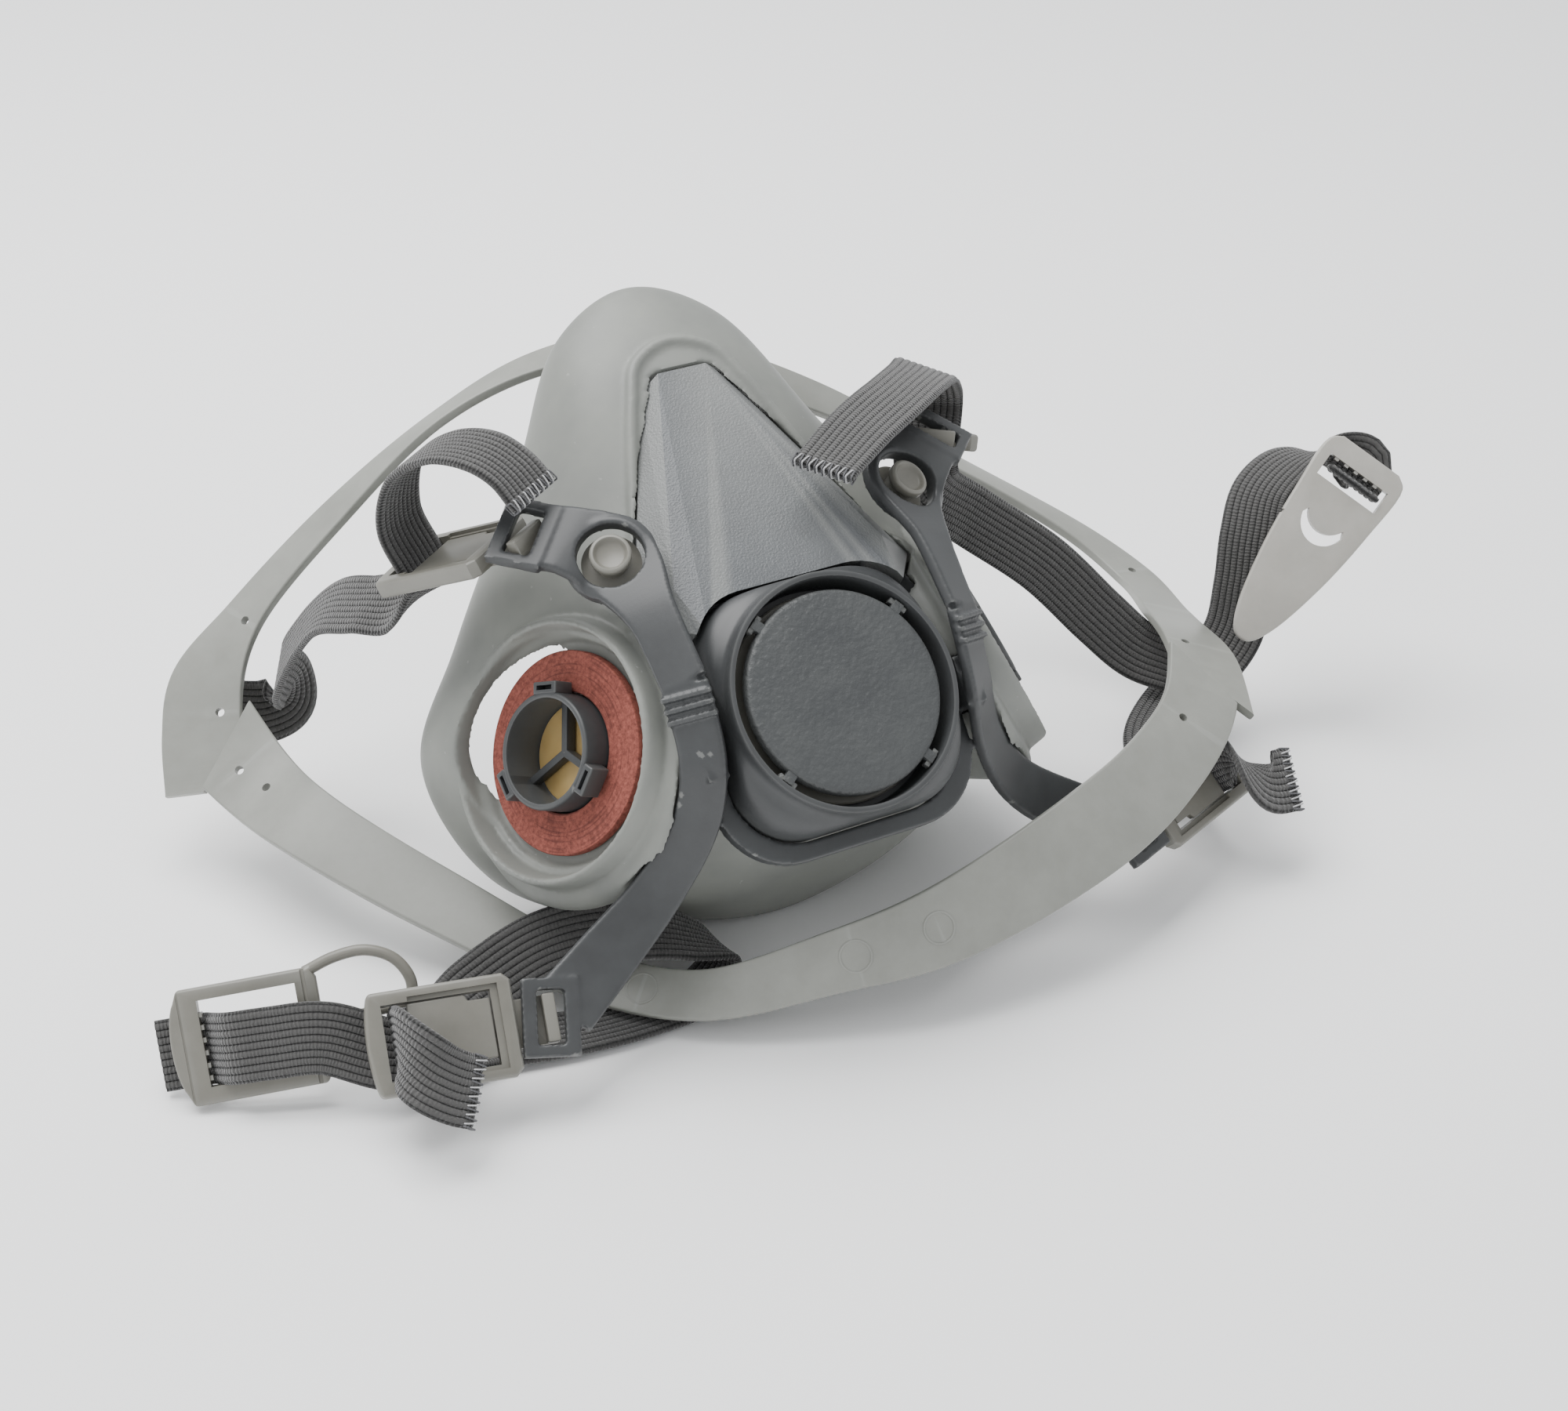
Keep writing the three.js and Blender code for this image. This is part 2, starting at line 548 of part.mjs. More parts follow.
const CRADLE_LOWER = [
  [-94, 109, 32, -0.4, -0.5, 0.75, 21], [-88, 91, 22.5, -0.4, -0.5, 0.8, 17],
  [-84, 73, 21.5, -0.35, -0.4, 0.85, 15], [-68, 46, 14, -0.25, -0.4, 0.9, 13.5],
  [-47, 15, 7, -0.25, -0.5, 0.85, 10.5], [-32, -2, 8.5, -0.25, -0.6, 0.75, 10],
  [-10, -13, 15.5, -0.15, -0.8, 0.6, 12], [12, -18, 20, 0, -0.85, 0.55, 15.5],
  [50, -14, 27.5, 0.15, -0.75, 0.65, 18], [72, -5, 30, 0.15, -0.65, 0.75, 17],
  [88, 5, 34, 0.1, -0.5, 0.85, 16], [102, 23, 39.5, 0.1, -0.5, 0.85, 16],
];
const CRADLE_UPPER = [
  [-97, 98, 18.5, -0.4, -0.5, 0.75, 17], [-94, 106, 27.5, -0.4, -0.55, 0.7, 17],
  [-90, 112, 35.5, -0.45, -0.55, 0.7, 16], [-79, 116, 47, -0.6, -0.3, 0.75, 10],
  [-56, 117, 66, -0.55, 0, 0.8, 9], [-32, 118, 81, -0.4, 0.3, 0.85, 8.5],
  [-8, 120, 87.5, -0.1, 0, 1, 8.5], [14, 119, 87, 0, -0.45, 0.9, 8.5],
  [36, 118, 78.5, 0.2, -0.7, 0.7, 8.5], [57, 112, 68, 0.3, -0.6, 0.7, 8.5],
  [88, 105, 48, 0.5, -0.2, 0.85, 8.5], [112, 85, 32, 0.35, -0.2, 0.9, 9.5],
  [117, 68, 27, 0.2, -0.3, 0.9, 10.5], [112, 49, 28.5, 0.15, -0.4, 0.9, 12.5],
  [103, 25, 33.5, 0.1, -0.45, 0.9, 16], [90, 0, 33.5, 0.1, -0.5, 0.85, 16.5],
];
// The bands are cut square to each other where they meet: middle of the cut, its way out
// of the lower band, and the face of both bands there.
const CRADLE_SEAMS = [
  basis([-91, 100.5, 26], [-0.6, 0.8, 0.2], [-0.4, -0.5, 0.75]),
  basis([94.5, 13.5, 35], [0.95, 0.3, 0.1], [0.1, -0.5, 0.85]),
];

function cradleBand(stations, steps, side) {
  let body = solid(band(stations, BAND_T, steps));
  for (const seam of CRADLE_SEAMS) {
    const beyond = side > 0 ? box([-26, -26, -0.2], [26, 26, 30]) : box([-26, -26, -30], [26, 26, 0.2]);
    body = body.subtract(placed(beyond, seam));
  }
  return largest(body);
}

// ---- assembly -------------------------------------------------------------------------
const COLOURS = {
  elastomer: [0x9a9c98, 0.55], hard: [0x4a4b4c, 0.5], cover: [0x55565a, 0.7],
  pale: [0xa9aaa4, 0.45], gasket: [0x8f4f45, 0.9], valve: [0xb79a62, 0.4],
  webbing: [0x3c393c, 0.95],
};
const group = new THREE.Group();
const origin = new THREE.Matrix4().makeTranslation(...ORIGIN).invert();
const table = frameGroup(origin, group);

function frameGroup(matrix, parent) {
  const child = new THREE.Group();
  child.applyMatrix4(matrix);
  parent.add(child);
  return child;
}

function put(parent, name, colour, body) {
  const [color, roughness] = COLOURS[colour];
  const material = new THREE.MeshStandardMaterial({ color, roughness, metalness: 0 });
  const geometry = geometryOf(body);
  geometry.computeVertexNormals();
  const mesh = new THREE.Mesh(geometry, material);
  mesh.name = name;
  parent.add(mesh);
}

put(table, "facepiece", "elastomer", facepiece());
put(table, "front_panel", "hard", panelSolid(0));
put(table, "harness_yoke", "hard", harnessYoke());

const valve = frameGroup(valveFrame, table);
put(valve, "valve_housing", "hard", valveHousing());
put(valve, "valve_seat", "pale", valveSeat());
put(valve, "exhalation_valve", "valve", exhalationValve());
put(valve, "exhalation_cover", "cover", exhalationCover());

for (const side of ["left", "right"]) {
  const port = frameGroup(portFrame[side], table);
  put(port, `inhalation_port_${side}`, "hard", inhalationPort());
  put(port, `port_gasket_${side}`, "gasket", portGasket());
  put(port, `inhalation_valve_${side}`, "valve", inhalationValve());
  put(frameGroup(studFrames[side], table), `stud_${side}`, "pale", stud());
}
for (const name of Object.keys(BUCKLES)) {
  const buckle = frameGroup(buckleMatrix(name), table);
  put(buckle, `buckle_${name}`, "pale", buckleFrame());
  put(buckle, `buckle_plate_${name}`, "pale", bucklePlate());
}
for (const [name, stations] of Object.entries(STRAPS)) {
  put(table, `strap_${name}`, "webbing", solid(band(stations, STRAP_T, stations.length * 4)));
}
put(frameGroup(CLIP_LEFT, table), "neck_clip_left", "pale", neckClipLeft());
put(frameGroup(CLIP_RIGHT, table), "neck_clip_right", "pale", neckClipRight());
put(table, "cradle_lower_band", "pale", cradleBand(CRADLE_LOWER, 77, 1));
put(table, "cradle_upper_band", "pale", cradleBand(CRADLE_UPPER, 90, -1));

export default group;
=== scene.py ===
# %% [markdown]
# # A half-mask respirator on a table
# The solid model already fixes where every piece is and how it moves. This lesson loads
# that frame and builds the surfaces that the eye sees: a soft moulded facepiece, hard
# clips and valve parts, ribbed elastic straps and a flexible head cradle.

# %% Load the fixed frame
import math

import bmesh
import bpy
import numpy as np
from mathutils import Matrix, Vector
from mathutils.bvhtree import BVHTree


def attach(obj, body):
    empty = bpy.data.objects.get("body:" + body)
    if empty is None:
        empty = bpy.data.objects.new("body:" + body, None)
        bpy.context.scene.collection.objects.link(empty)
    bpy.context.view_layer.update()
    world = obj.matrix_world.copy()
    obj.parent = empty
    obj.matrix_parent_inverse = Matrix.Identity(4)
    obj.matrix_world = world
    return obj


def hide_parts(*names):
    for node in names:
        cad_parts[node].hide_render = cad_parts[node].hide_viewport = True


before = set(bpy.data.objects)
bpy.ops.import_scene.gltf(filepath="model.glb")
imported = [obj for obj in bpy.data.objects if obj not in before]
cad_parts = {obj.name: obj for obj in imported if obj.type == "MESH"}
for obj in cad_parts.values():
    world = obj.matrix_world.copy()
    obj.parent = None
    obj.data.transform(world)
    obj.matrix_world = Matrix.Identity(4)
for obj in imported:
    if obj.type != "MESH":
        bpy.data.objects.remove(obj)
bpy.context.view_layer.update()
print("nodes in the frame:", len(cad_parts))

# %% [markdown]
# ## Working in millimetres
# Small mouldings are easiest to think about in millimetres, on a mask whose middle plane
# is x = 0. The frame is in metres, and its origin lies under the middle of the mask and
# harness together, so one matrix carries a finished mesh from the bench to the frame.

# %% Bench to frame
BENCH_ORIGIN = Vector((16.4, 50.5, 0.0))
TO_FRAME = Matrix.Scale(0.001, 4) @ Matrix.Translation(-BENCH_ORIGIN)
print("bench origin in the frame, m:", tuple(round(v, 4) for v in TO_FRAME @ Vector()))


def axes(origin, axis, towards):
    """A matrix whose Z runs along `axis` and whose X stays close to `towards`."""
    z = Vector(axis).normalized()
    x = Vector(towards)
    x = (x - z * x.dot(z)).normalized()
    y = z.cross(x)
    turn = Matrix((x, y, z)).transposed().to_4x4()
    return Matrix.Translation(Vector(origin)) @ turn


def flipped(point):
    """The same point on the other side of the mask."""
    return (-point[0], *point[1:])


# %% [markdown]
# ## The frames that pieces hang on
# The valve, the two filter ports, the studs, buckles and clips each have a frame of their
# own, with Z pointing out of the piece's face. They match the solid model exactly.

# %% Local frames
VALVE_TILT = math.radians(41)
VALVE = axes((0, 0, 67), (0, -math.cos(VALVE_TILT), math.sin(VALVE_TILT)), (1, 0, 0))
PORT_SPOT, PORT_AXIS = (48.5, 28.6, 52.4), (0.86, -0.22, 0.46)
PORTS = {
    "left": axes(flipped(PORT_SPOT), flipped(PORT_AXIS), (0, 0, 1)),
    "right": axes(PORT_SPOT, PORT_AXIS, (0, 0, 1)),
}
STUD_SPOT, STUD_AXIS = (32, 33.6, 87.4), (0.3, -0.55, 0.8)
STUDS = {
    "left": axes(flipped(STUD_SPOT), flipped(STUD_AXIS), (1, 0, 0)),
    "right": axes(STUD_SPOT, STUD_AXIS, (1, 0, 0)),
}
UPPER_END = axes((45, 43.8, 91.2), (0.25, -0.35, 0.9), (0.45, 0.77, -0.42))
LOWER_END = axes((65.6, -4.8, 17.7), (0.15, -0.7, 0.7), (0.89, 0.38, 0))
BUCKLES = {
    "upper_left": axes((-45, 43.8, 91.2), (-0.3, 0.32, 0.9), (-0.45, 0.77, -0.42)),
    "upper_right": axes((45, 43.8, 91.2), (0.3, 0.32, 0.9), (0.45, 0.77, -0.42)),
    "lower_left": axes((-65.6, -4.8, 17.7), (-0.15, -0.7, 0.7), (-0.9, 0.28, -0.06)),
    "lower_right": axes((65.6, -4.8, 17.7), (0.15, -0.7, 0.7), (0.89, 0.38, 0)),
}
CLIP_LEFT = axes((-114.5, 24, 11.9), (-0.35, -0.78, 0.5), (0.9, -0.4, 0.15))
CLIP_RIGHT = axes((151.5, 38.5, 54.5), (-0.4, -0.75, 0.5), (-0.75, -0.15, -0.65))
SEAL_TILT = math.radians(22.6)
SEAL_CENTRE = Vector((0, 74.5, 55.7))
SEAL_FORWARD = Vector((0, -math.cos(SEAL_TILT), math.sin(SEAL_TILT)))
SEAL_UP = Vector((0, math.sin(SEAL_TILT), math.cos(SEAL_TILT)))
print("ports, studs and buckles:", len(PORTS), len(STUDS), len(BUCKLES))

# %% [markdown]
# ## Camera, table and light
# The mask lies on white, seen from its front left and from above. One broad light overhead
# makes the top faces the palest, and the white floor and pale room fill the shadows.

# %% Camera
CAMERA_TURN, CAMERA_RISE = math.radians(-29), math.radians(31.5)
CAMERA_REACH = 520  # millimetres
LOOK_AT = Vector((-11.0, 4.4, 64.5))
back = Vector((
    math.sin(CAMERA_TURN) * math.cos(CAMERA_RISE),
    -math.cos(CAMERA_TURN) * math.cos(CAMERA_RISE),
    math.sin(CAMERA_RISE),
))
lens = bpy.data.cameras.new("camera")
lens.sensor_width = 36
lens.lens = 63.65
lens.clip_start = 0.01
camera = bpy.data.objects.new("camera", lens)
camera.location = TO_FRAME @ (LOOK_AT + back * CAMERA_REACH)
camera.rotation_euler = (math.pi / 2 - CAMERA_RISE, 0, CAMERA_TURN)
bpy.context.scene.collection.objects.link(camera)
bpy.context.scene.camera = camera
print("camera at, m:", tuple(round(v, 3) for v in camera.location))


# %% Colours and nodes
def srgb(code):
    """An sRGB hex colour as the linear values that shaders use."""
    parts = [int(code[i:i + 2], 16) / 255 for i in (0, 2, 4)]
    straight = [p / 12.92 if p <= 0.04045 else ((p + 0.055) / 1.055) ** 2.4 for p in parts]
    return (*straight, 1.0)


def add(tree, kind, sockets=None, **settings):
    """Adds a node. Each entry of `sockets` is a value, or another node's output to link."""
    node = tree.nodes.new(kind)
    for name, value in settings.items():
        setattr(node, name, value)
    for name, value in (sockets or {}).items():
        if isinstance(value, bpy.types.NodeSocket):
            tree.links.new(value, node.inputs[name])
        else:
            node.inputs[name].default_value = value
    return node


def finish_named(name, roughness, ior, **shader_values):
    """A new material with its shader, its node tree and the mesh position in millimetres."""
    made = bpy.data.materials.new(name)
    made.use_nodes = True
    tree = made.node_tree
    shader = tree.nodes["Principled BSDF"]
    shader.inputs["Roughness"].default_value = roughness
    shader.inputs["IOR"].default_value = ior
    for socket, value in shader_values.items():
        shader.inputs[socket].default_value = value
    place = add(tree, "ShaderNodeTexCoord")
    scaled = add(tree, "ShaderNodeMapping", {
        "Vector": place.outputs["Object"], "Scale": (1000, 1000, 1000),
    })
    return made, tree, shader, scaled.outputs["Vector"]


def per_mm(size):
    """The texture scale whose features are about `size` millimetres across."""
    return 1 / size


# %% Table and light
bpy.ops.mesh.primitive_plane_add(size=6)
table = bpy.context.object
table.name = "table"
paper, tree, shader, place = finish_named("matt_white_paper", 0.85, 1.45)
shader.inputs["Base Color"].default_value = srgb("fbfbfb")
table.data.materials.append(paper)

world = bpy.data.worlds.new("pale_room")
world.use_nodes = True
world.node_tree.nodes["Background"].inputs["Color"].default_value = srgb("f4f6f8")
world.node_tree.nodes["Background"].inputs["Strength"].default_value = 1.05
bpy.context.scene.world = world


def soft_light(name, watts, size, position, aim):
    """A square area light that faces a point, both in bench millimetres."""
    data = bpy.data.lights.new(name, "AREA")
    data.energy, data.size = watts, size
    lamp = bpy.data.objects.new(name, data)
    lamp.location = TO_FRAME @ Vector(position)
    towards = (TO_FRAME @ Vector(aim)) - lamp.location
    lamp.rotation_euler = towards.to_track_quat("-Z", "Y").to_euler()
    bpy.context.scene.collection.objects.link(lamp)
    return lamp


soft_light("overhead", 15.0, 0.8, (-150, 350, 900), (0, 40, 40))
soft_light("left_fill", 1.0, 0.6, (-800, -250, 400), (0, 40, 40))
print("lights: overhead and left fill")

# %% [markdown]
# ## Materials of the soft parts
# The facepiece is a thermoplastic elastomer, injection moulded against a lightly sanded
# tool: an even, satin grey with a faint cloudiness and no visible grain until the light
# grazes it. Its index of refraction is that of most rubbers, about 1.5.


# %% Moulded elastomer
def moulded_elastomer():
    """Pale grey thermoplastic elastomer, moulded satin."""
    made, tree, shader, place = finish_named("moulded_elastomer", 0.5, 1.5)
    clouds = add(tree, "ShaderNodeTexNoise", {
        "Vector": place, "Scale": per_mm(14), "Detail": 3.0, "Roughness": 0.6,
    })
    tint = add(tree, "ShaderNodeValToRGB", {"Fac": clouds.outputs["Fac"]})
    tint.color_ramp.elements[0].color = srgb("777975")
    tint.color_ramp.elements[0].position = 0.3
    tint.color_ramp.elements[1].color = srgb("83857f")
    tint.color_ramp.elements[1].position = 0.72
    specks = add(tree, "ShaderNodeTexNoise", {
        "Vector": place, "Scale": per_mm(1.6), "Detail": 2.0,
    })
    dust = add(tree, "ShaderNodeMapRange", {
        "Value": specks.outputs["Fac"], "From Min": 0.72, "From Max": 0.8, "To Max": 0.35,
    })
    dusty = add(tree, "ShaderNodeMix", {
        "Factor": dust.outputs["Result"], "A": tint.outputs["Color"], "B": srgb("b9bab4"),
    }, data_type="RGBA")
    tree.links.new(dusty.outputs["Result"], shader.inputs["Base Color"])
    sheen = add(tree, "ShaderNodeMapRange", {
        "Value": clouds.outputs["Fac"], "To Min": 0.43, "To Max": 0.56,
    })
    tree.links.new(sheen.outputs["Result"], shader.inputs["Roughness"])
    grain = add(tree, "ShaderNodeTexNoise", {
        "Vector": place, "Scale": per_mm(0.35), "Detail": 2.0,
    })
    bump = add(tree, "ShaderNodeBump", {
        "Height": grain.outputs["Fac"], "Strength": 0.08, "Distance": 0.0001,
    })
    tree.links.new(bump.outputs["Normal"], shader.inputs["Normal"])
    return made


ELASTOMER = moulded_elastomer()
print("material:", ELASTOMER.name)

# %% [markdown]
# ## Materials of the hard parts
# The dark mouldings are glass-filled nylon or polypropylene. The tool's finish is what
# sets them apart: the yoke and housing are satin, the nose panel is spark eroded to a
# fine sparkle, and the valve cover has a coarse pebble. All share an index near 1.5.


# %% Moulded plastics
def moulded_plastic(name, dark, light, roughness, grit_mm, grit_depth, strength=0.25):
    """Moulded plastic whose grain has the tool's own grit, in millimetres."""
    made, tree, shader, place = finish_named(name, roughness, 1.5)
    clouds = add(tree, "ShaderNodeTexNoise", {
        "Vector": place, "Scale": per_mm(9), "Detail": 4.0, "Roughness": 0.65,
    })
    tint = add(tree, "ShaderNodeValToRGB", {"Fac": clouds.outputs["Fac"]})
    tint.color_ramp.elements[0].color = srgb(dark)
    tint.color_ramp.elements[0].position = 0.3
    tint.color_ramp.elements[1].color = srgb(light)
    tint.color_ramp.elements[1].position = 0.75
    rim = add(tree, "ShaderNodeNewGeometry")
    worn = add(tree, "ShaderNodeMapRange", {
        "Value": rim.outputs["Pointiness"], "From Min": 0.53, "From Max": 0.62, "To Max": 0.35,
    })
    edged = add(tree, "ShaderNodeMix", {
        "Factor": worn.outputs["Result"], "A": tint.outputs["Color"], "B": srgb("9b9c98"),
    }, data_type="RGBA")
    tree.links.new(edged.outputs["Result"], shader.inputs["Base Color"])
    uneven = add(tree, "ShaderNodeMapRange", {
        "Value": clouds.outputs["Fac"], "To Min": roughness - 0.07, "To Max": roughness + 0.07,
    })
    tree.links.new(uneven.outputs["Result"], shader.inputs["Roughness"])
    grit = add(tree, "ShaderNodeTexNoise", {
        "Vector": place, "Scale": per_mm(grit_mm), "Detail": 2.0, "Roughness": 0.5,
    })
    bump = add(tree, "ShaderNodeBump", {
        "Height": grit.outputs["Fac"], "Strength": strength, "Distance": grit_depth / 1000,
    })
    tree.links.new(bump.outputs["Normal"], shader.inputs["Normal"])
    return made


DARK_NYLON = moulded_plastic("dark_moulded_nylon", "343536", "3d3f40", 0.42, 0.3, 0.05, 0.2)
SPARKED_NYLON = moulded_plastic("spark_eroded_nylon", "56585a", "606365", 0.42, 0.45, 0.22, 0.7)
PEBBLED_NYLON = moulded_plastic("pebbled_nylon", "3c3e3f", "474949", 0.5, 1.1, 0.45, 0.8)
PALE_NYLON = moulded_plastic("pale_moulded_nylon", "6c6a62", "77756d", 0.38, 0.4, 0.05, 0.15)
CRADLE_PLASTIC = moulded_plastic("flexible_polyethylene", "83847e", "8e8f89", 0.42, 0.5, 0.05, 0.15)
CLEAR_NYLON = moulded_plastic("natural_nylon", "a19e97", "aeaba4", 0.33, 0.5, 0.04, 0.12)
for milky in (CLEAR_NYLON, CRADLE_PLASTIC):
    milky_shader = milky.node_tree.nodes["Principled BSDF"]
    milky_shader.inputs["Subsurface Weight"].default_value = 0.15
    milky_shader.inputs["Subsurface Radius"].default_value = (0.002, 0.0019, 0.0017)
print("moulded plastics: 6")


# %% [markdown]
# ## Gasket, valve flaps and thread
# The port gasket is a punched ring of red-brown rubber bonded with short fibres: matt,
# mottled, with darker rings left where the last cartridge turned on it. The valve flaps
# are thin tan silicone, smooth and a little see-through.


# %% Gasket and silicone
def fibre_gasket():
    """Punched fibre and rubber sheet, matt and mottled, with scuffed rings."""
    made, tree, shader, place = finish_named("fibre_gasket", 0.88, 1.5)
    fibres = add(tree, "ShaderNodeTexNoise", {
        "Vector": place, "Scale": per_mm(0.9), "Detail": 6.0, "Roughness": 0.75,
    })
    tint = add(tree, "ShaderNodeValToRGB", {"Fac": fibres.outputs["Fac"]})
    tint.color_ramp.elements[0].color = srgb("5e2c24")
    tint.color_ramp.elements[0].position = 0.3
    tint.color_ramp.elements[1].color = srgb("a65d50")
    tint.color_ramp.elements[1].position = 0.68
    radius = add(tree, "ShaderNodeAttribute", attribute_name="from_axis")
    scuffs = add(tree, "ShaderNodeTexNoise", {
        "W": radius.outputs["Fac"], "Scale": 1.6, "Detail": 2.0,
    }, noise_dimensions="1D")
    broken = add(tree, "ShaderNodeTexNoise", {"Vector": place, "Scale": per_mm(6)})
    both = add(tree, "ShaderNodeMath", {
        0: scuffs.outputs["Fac"], 1: broken.outputs["Fac"],
    }, operation="MULTIPLY")
    scuffed = add(tree, "ShaderNodeMapRange", {
        "Value": both.outputs["Value"], "From Min": 0.28, "From Max": 0.42, "To Max": 0.55,
    })
    worn = add(tree, "ShaderNodeMix", {
        "Factor": scuffed.outputs["Result"], "A": tint.outputs["Color"], "B": srgb("4a201c"),
    }, data_type="RGBA")
    tree.links.new(worn.outputs["Result"], shader.inputs["Base Color"])
    bump = add(tree, "ShaderNodeBump", {
        "Height": fibres.outputs["Fac"], "Strength": 0.5, "Distance": 0.0003,
    })
    tree.links.new(bump.outputs["Normal"], shader.inputs["Normal"])
    return made


def tan_silicone():
    """Thin cast silicone sheet, smooth and tan."""
    made, tree, shader, place = finish_named("tan_silicone", 0.4, 1.41)
    clouds = add(tree, "ShaderNodeTexNoise", {"Vector": place, "Scale": per_mm(5)})
    tint = add(tree, "ShaderNodeValToRGB", {"Fac": clouds.outputs["Fac"]})
    tint.color_ramp.elements[0].color = srgb("a98d58")
    tint.color_ramp.elements[1].color = srgb("c9ae78")
    tree.links.new(tint.outputs["Color"], shader.inputs["Base Color"])
    shader.inputs["Subsurface Weight"].default_value = 0.3
    shader.inputs["Subsurface Radius"].default_value = (0.002, 0.0012, 0.0006)
    return made


GASKET = fibre_gasket()
SILICONE = tan_silicone()
print("materials:", GASKET.name, SILICONE.name)

# %% [markdown]
# ## Elastic webbing
# Neck and head straps are knitted elastic. Rubber cords run along the band and make the
# ribs, and a soft textured yarn wraps them, so the surface is fuzzy and matt. The grooves
# between the ribs are painted darker and the crowns lighter, as painted shade and light.
# The ribs are modelled; the yarn's fine stitches and fuzz are drawn. Stitch rows are
# 0.7 mm apart on the real band and are drawn at that pitch.


# %% Knitted elastic
STITCH_PITCH = 0.7
WAVE_LENGTH = 0.314  # length of one drawn wave at a scale of 1


def knitted_elastic():
    """Ribbed knitted elastic with a dark polyester yarn."""
    made, tree, shader, place = finish_named(
        "knitted_elastic", 0.95, 1.45, **{"Sheen Weight": 0.35, "Sheen Roughness": 0.45})
    across = add(tree, "ShaderNodeAttribute", attribute_name="across")
    along = add(tree, "ShaderNodeAttribute", attribute_name="along")
    height = add(tree, "ShaderNodeAttribute", attribute_name="rib")
    flat = add(tree, "ShaderNodeCombineXYZ", {
        "X": across.outputs["Fac"], "Y": along.outputs["Fac"],
    })
    fuzz = add(tree, "ShaderNodeTexNoise", {
        "Vector": place, "Scale": per_mm(0.55), "Detail": 5.0, "Roughness": 0.7,
    })
    stitches = add(tree, "ShaderNodeTexWave", {
        "Vector": flat.outputs["Vector"], "Scale": WAVE_LENGTH / STITCH_PITCH, "Distortion": 3.0,
        "Detail": 2.0, "Detail Scale": 2.5,
    }, bands_direction="Y")
    # painted light and shade: rib crowns are coloured lighter and the grooves between ribs darker
    lit = add(tree, "ShaderNodeMath", {
        0: height.outputs["Fac"], 1: 0.72,
    }, operation="MULTIPLY")
    mixed = add(tree, "ShaderNodeMath", {
        0: fuzz.outputs["Fac"], 1: 0.75, 2: lit.outputs["Value"],
    }, operation="MULTIPLY_ADD")
    # the dark end of this ramp holds painted groove shade as well as the yarn's own dark tone
    tint = add(tree, "ShaderNodeValToRGB", {"Fac": mixed.outputs["Value"]})
    tint.color_ramp.elements[0].color = srgb("121212")
    tint.color_ramp.elements[0].position = 0.35
    tint.color_ramp.elements[1].color = srgb("4f4e4d")
    tint.color_ramp.elements[1].position = 1.1 / 1.15
    tree.links.new(tint.outputs["Color"], shader.inputs["Base Color"])
    yarn = add(tree, "ShaderNodeMath", {
        0: stitches.outputs["Fac"], 1: 0.7, 2: fuzz.outputs["Fac"],
    }, operation="MULTIPLY_ADD")
    bump = add(tree, "ShaderNodeBump", {
        "Height": yarn.outputs["Value"], "Strength": 0.8, "Distance": 0.00035,
    })
    tree.links.new(bump.outputs["Normal"], shader.inputs["Normal"])
    return made


def sewing_thread(name, colour):
    """Twisted polyester thread of the overlocked ends."""
    made, tree, shader, place = finish_named(name, 0.7, 1.5)
    twist = add(tree, "ShaderNodeTexNoise", {"Vector": place, "Scale": per_mm(0.3)})
    tint = add(tree, "ShaderNodeMix", {
        "Factor": twist.outputs["Fac"], "A": srgb(colour), "B": srgb("77777a"),
    }, data_type="RGBA")
    tree.links.new(tint.outputs["Result"], shader.inputs["Base Color"])
    return made


ELASTIC = knitted_elastic()
DARK_THREAD = sewing_thread("black_polyester_thread", "0c0c0e")
PALE_THREAD = sewing_thread("white_polyester_thread", "d8d8d8")
print("materials:", ELASTIC.name, DARK_THREAD.name, PALE_THREAD.name)

# %% [markdown]
# ## Bench tools
# Most pieces start as one of four shapes: a skin over a stack of loops, a profile turned
# about an axis, a flat outline with thickness, or a section carried along a curve. They
# are joined and cut as solids, and rounded as a real moulding is.


# %% Meshes from points
def solid(name, points, faces):
    """A closed mesh in bench millimetres, with its faces pointing out."""
    mesh = bpy.data.meshes.new(name)
    mesh.from_pydata([tuple(p) for p in points], [], [tuple(f) for f in faces])
    shape = bmesh.new()
    shape.from_mesh(mesh)
    bmesh.ops.remove_doubles(shape, verts=shape.verts, dist=1e-5)
    bmesh.ops.recalc_face_normals(shape, faces=shape.faces)
    shape.to_mesh(mesh)
    shape.free()
    made = bpy.data.objects.new(name, mesh)
    bpy.context.scene.collection.objects.link(made)
    return made


def skin(name, loops, closed=False):
    """Joins loops of equal length; the ends are capped unless the stack closes on itself."""
    count, rows = len(loops[0]), len(loops)
    faces = []
    for i in range(rows if closed else rows - 1):
        here, there = i * count, ((i + 1) % rows) * count
        for j in range(count):
            k = (j + 1) % count
            faces.append((here + j, here + k, there + k, there + j))
    if not closed:
        faces.append(tuple(range(count)))
        faces.append(tuple((rows - 1) * count + j for j in range(count)))
    return solid(name, [p for loop in loops for p in loop], faces)


def turned(name, profile, matrix=None, sides=128):
    """A profile of (radius, height) turned about Z; one that starts on the axis gets caps."""
    capped = profile[0][0] == 0
    angles = np.linspace(0, 2 * math.pi, sides, endpoint=False)
    loops = [
        [(r * math.cos(a), r * math.sin(a), z) for a in angles]
        for r, z in (profile[1:-1] if capped else profile)
    ]
    made = skin(name, loops, closed=not capped)
    return moved(made, matrix)


def moved(piece, matrix):
    """Puts a bench piece in one of the local frames."""
    if matrix is not None:
        piece.data.transform(matrix)
    return piece


def plate(name, outline, low, high, matrix=None):
    """A flat outline of (x, y) points with its underside and top at two heights."""
    loops = [[(x, y, z) for x, y in outline] for z in (low, high)]
    return moved(skin(name, loops), matrix)


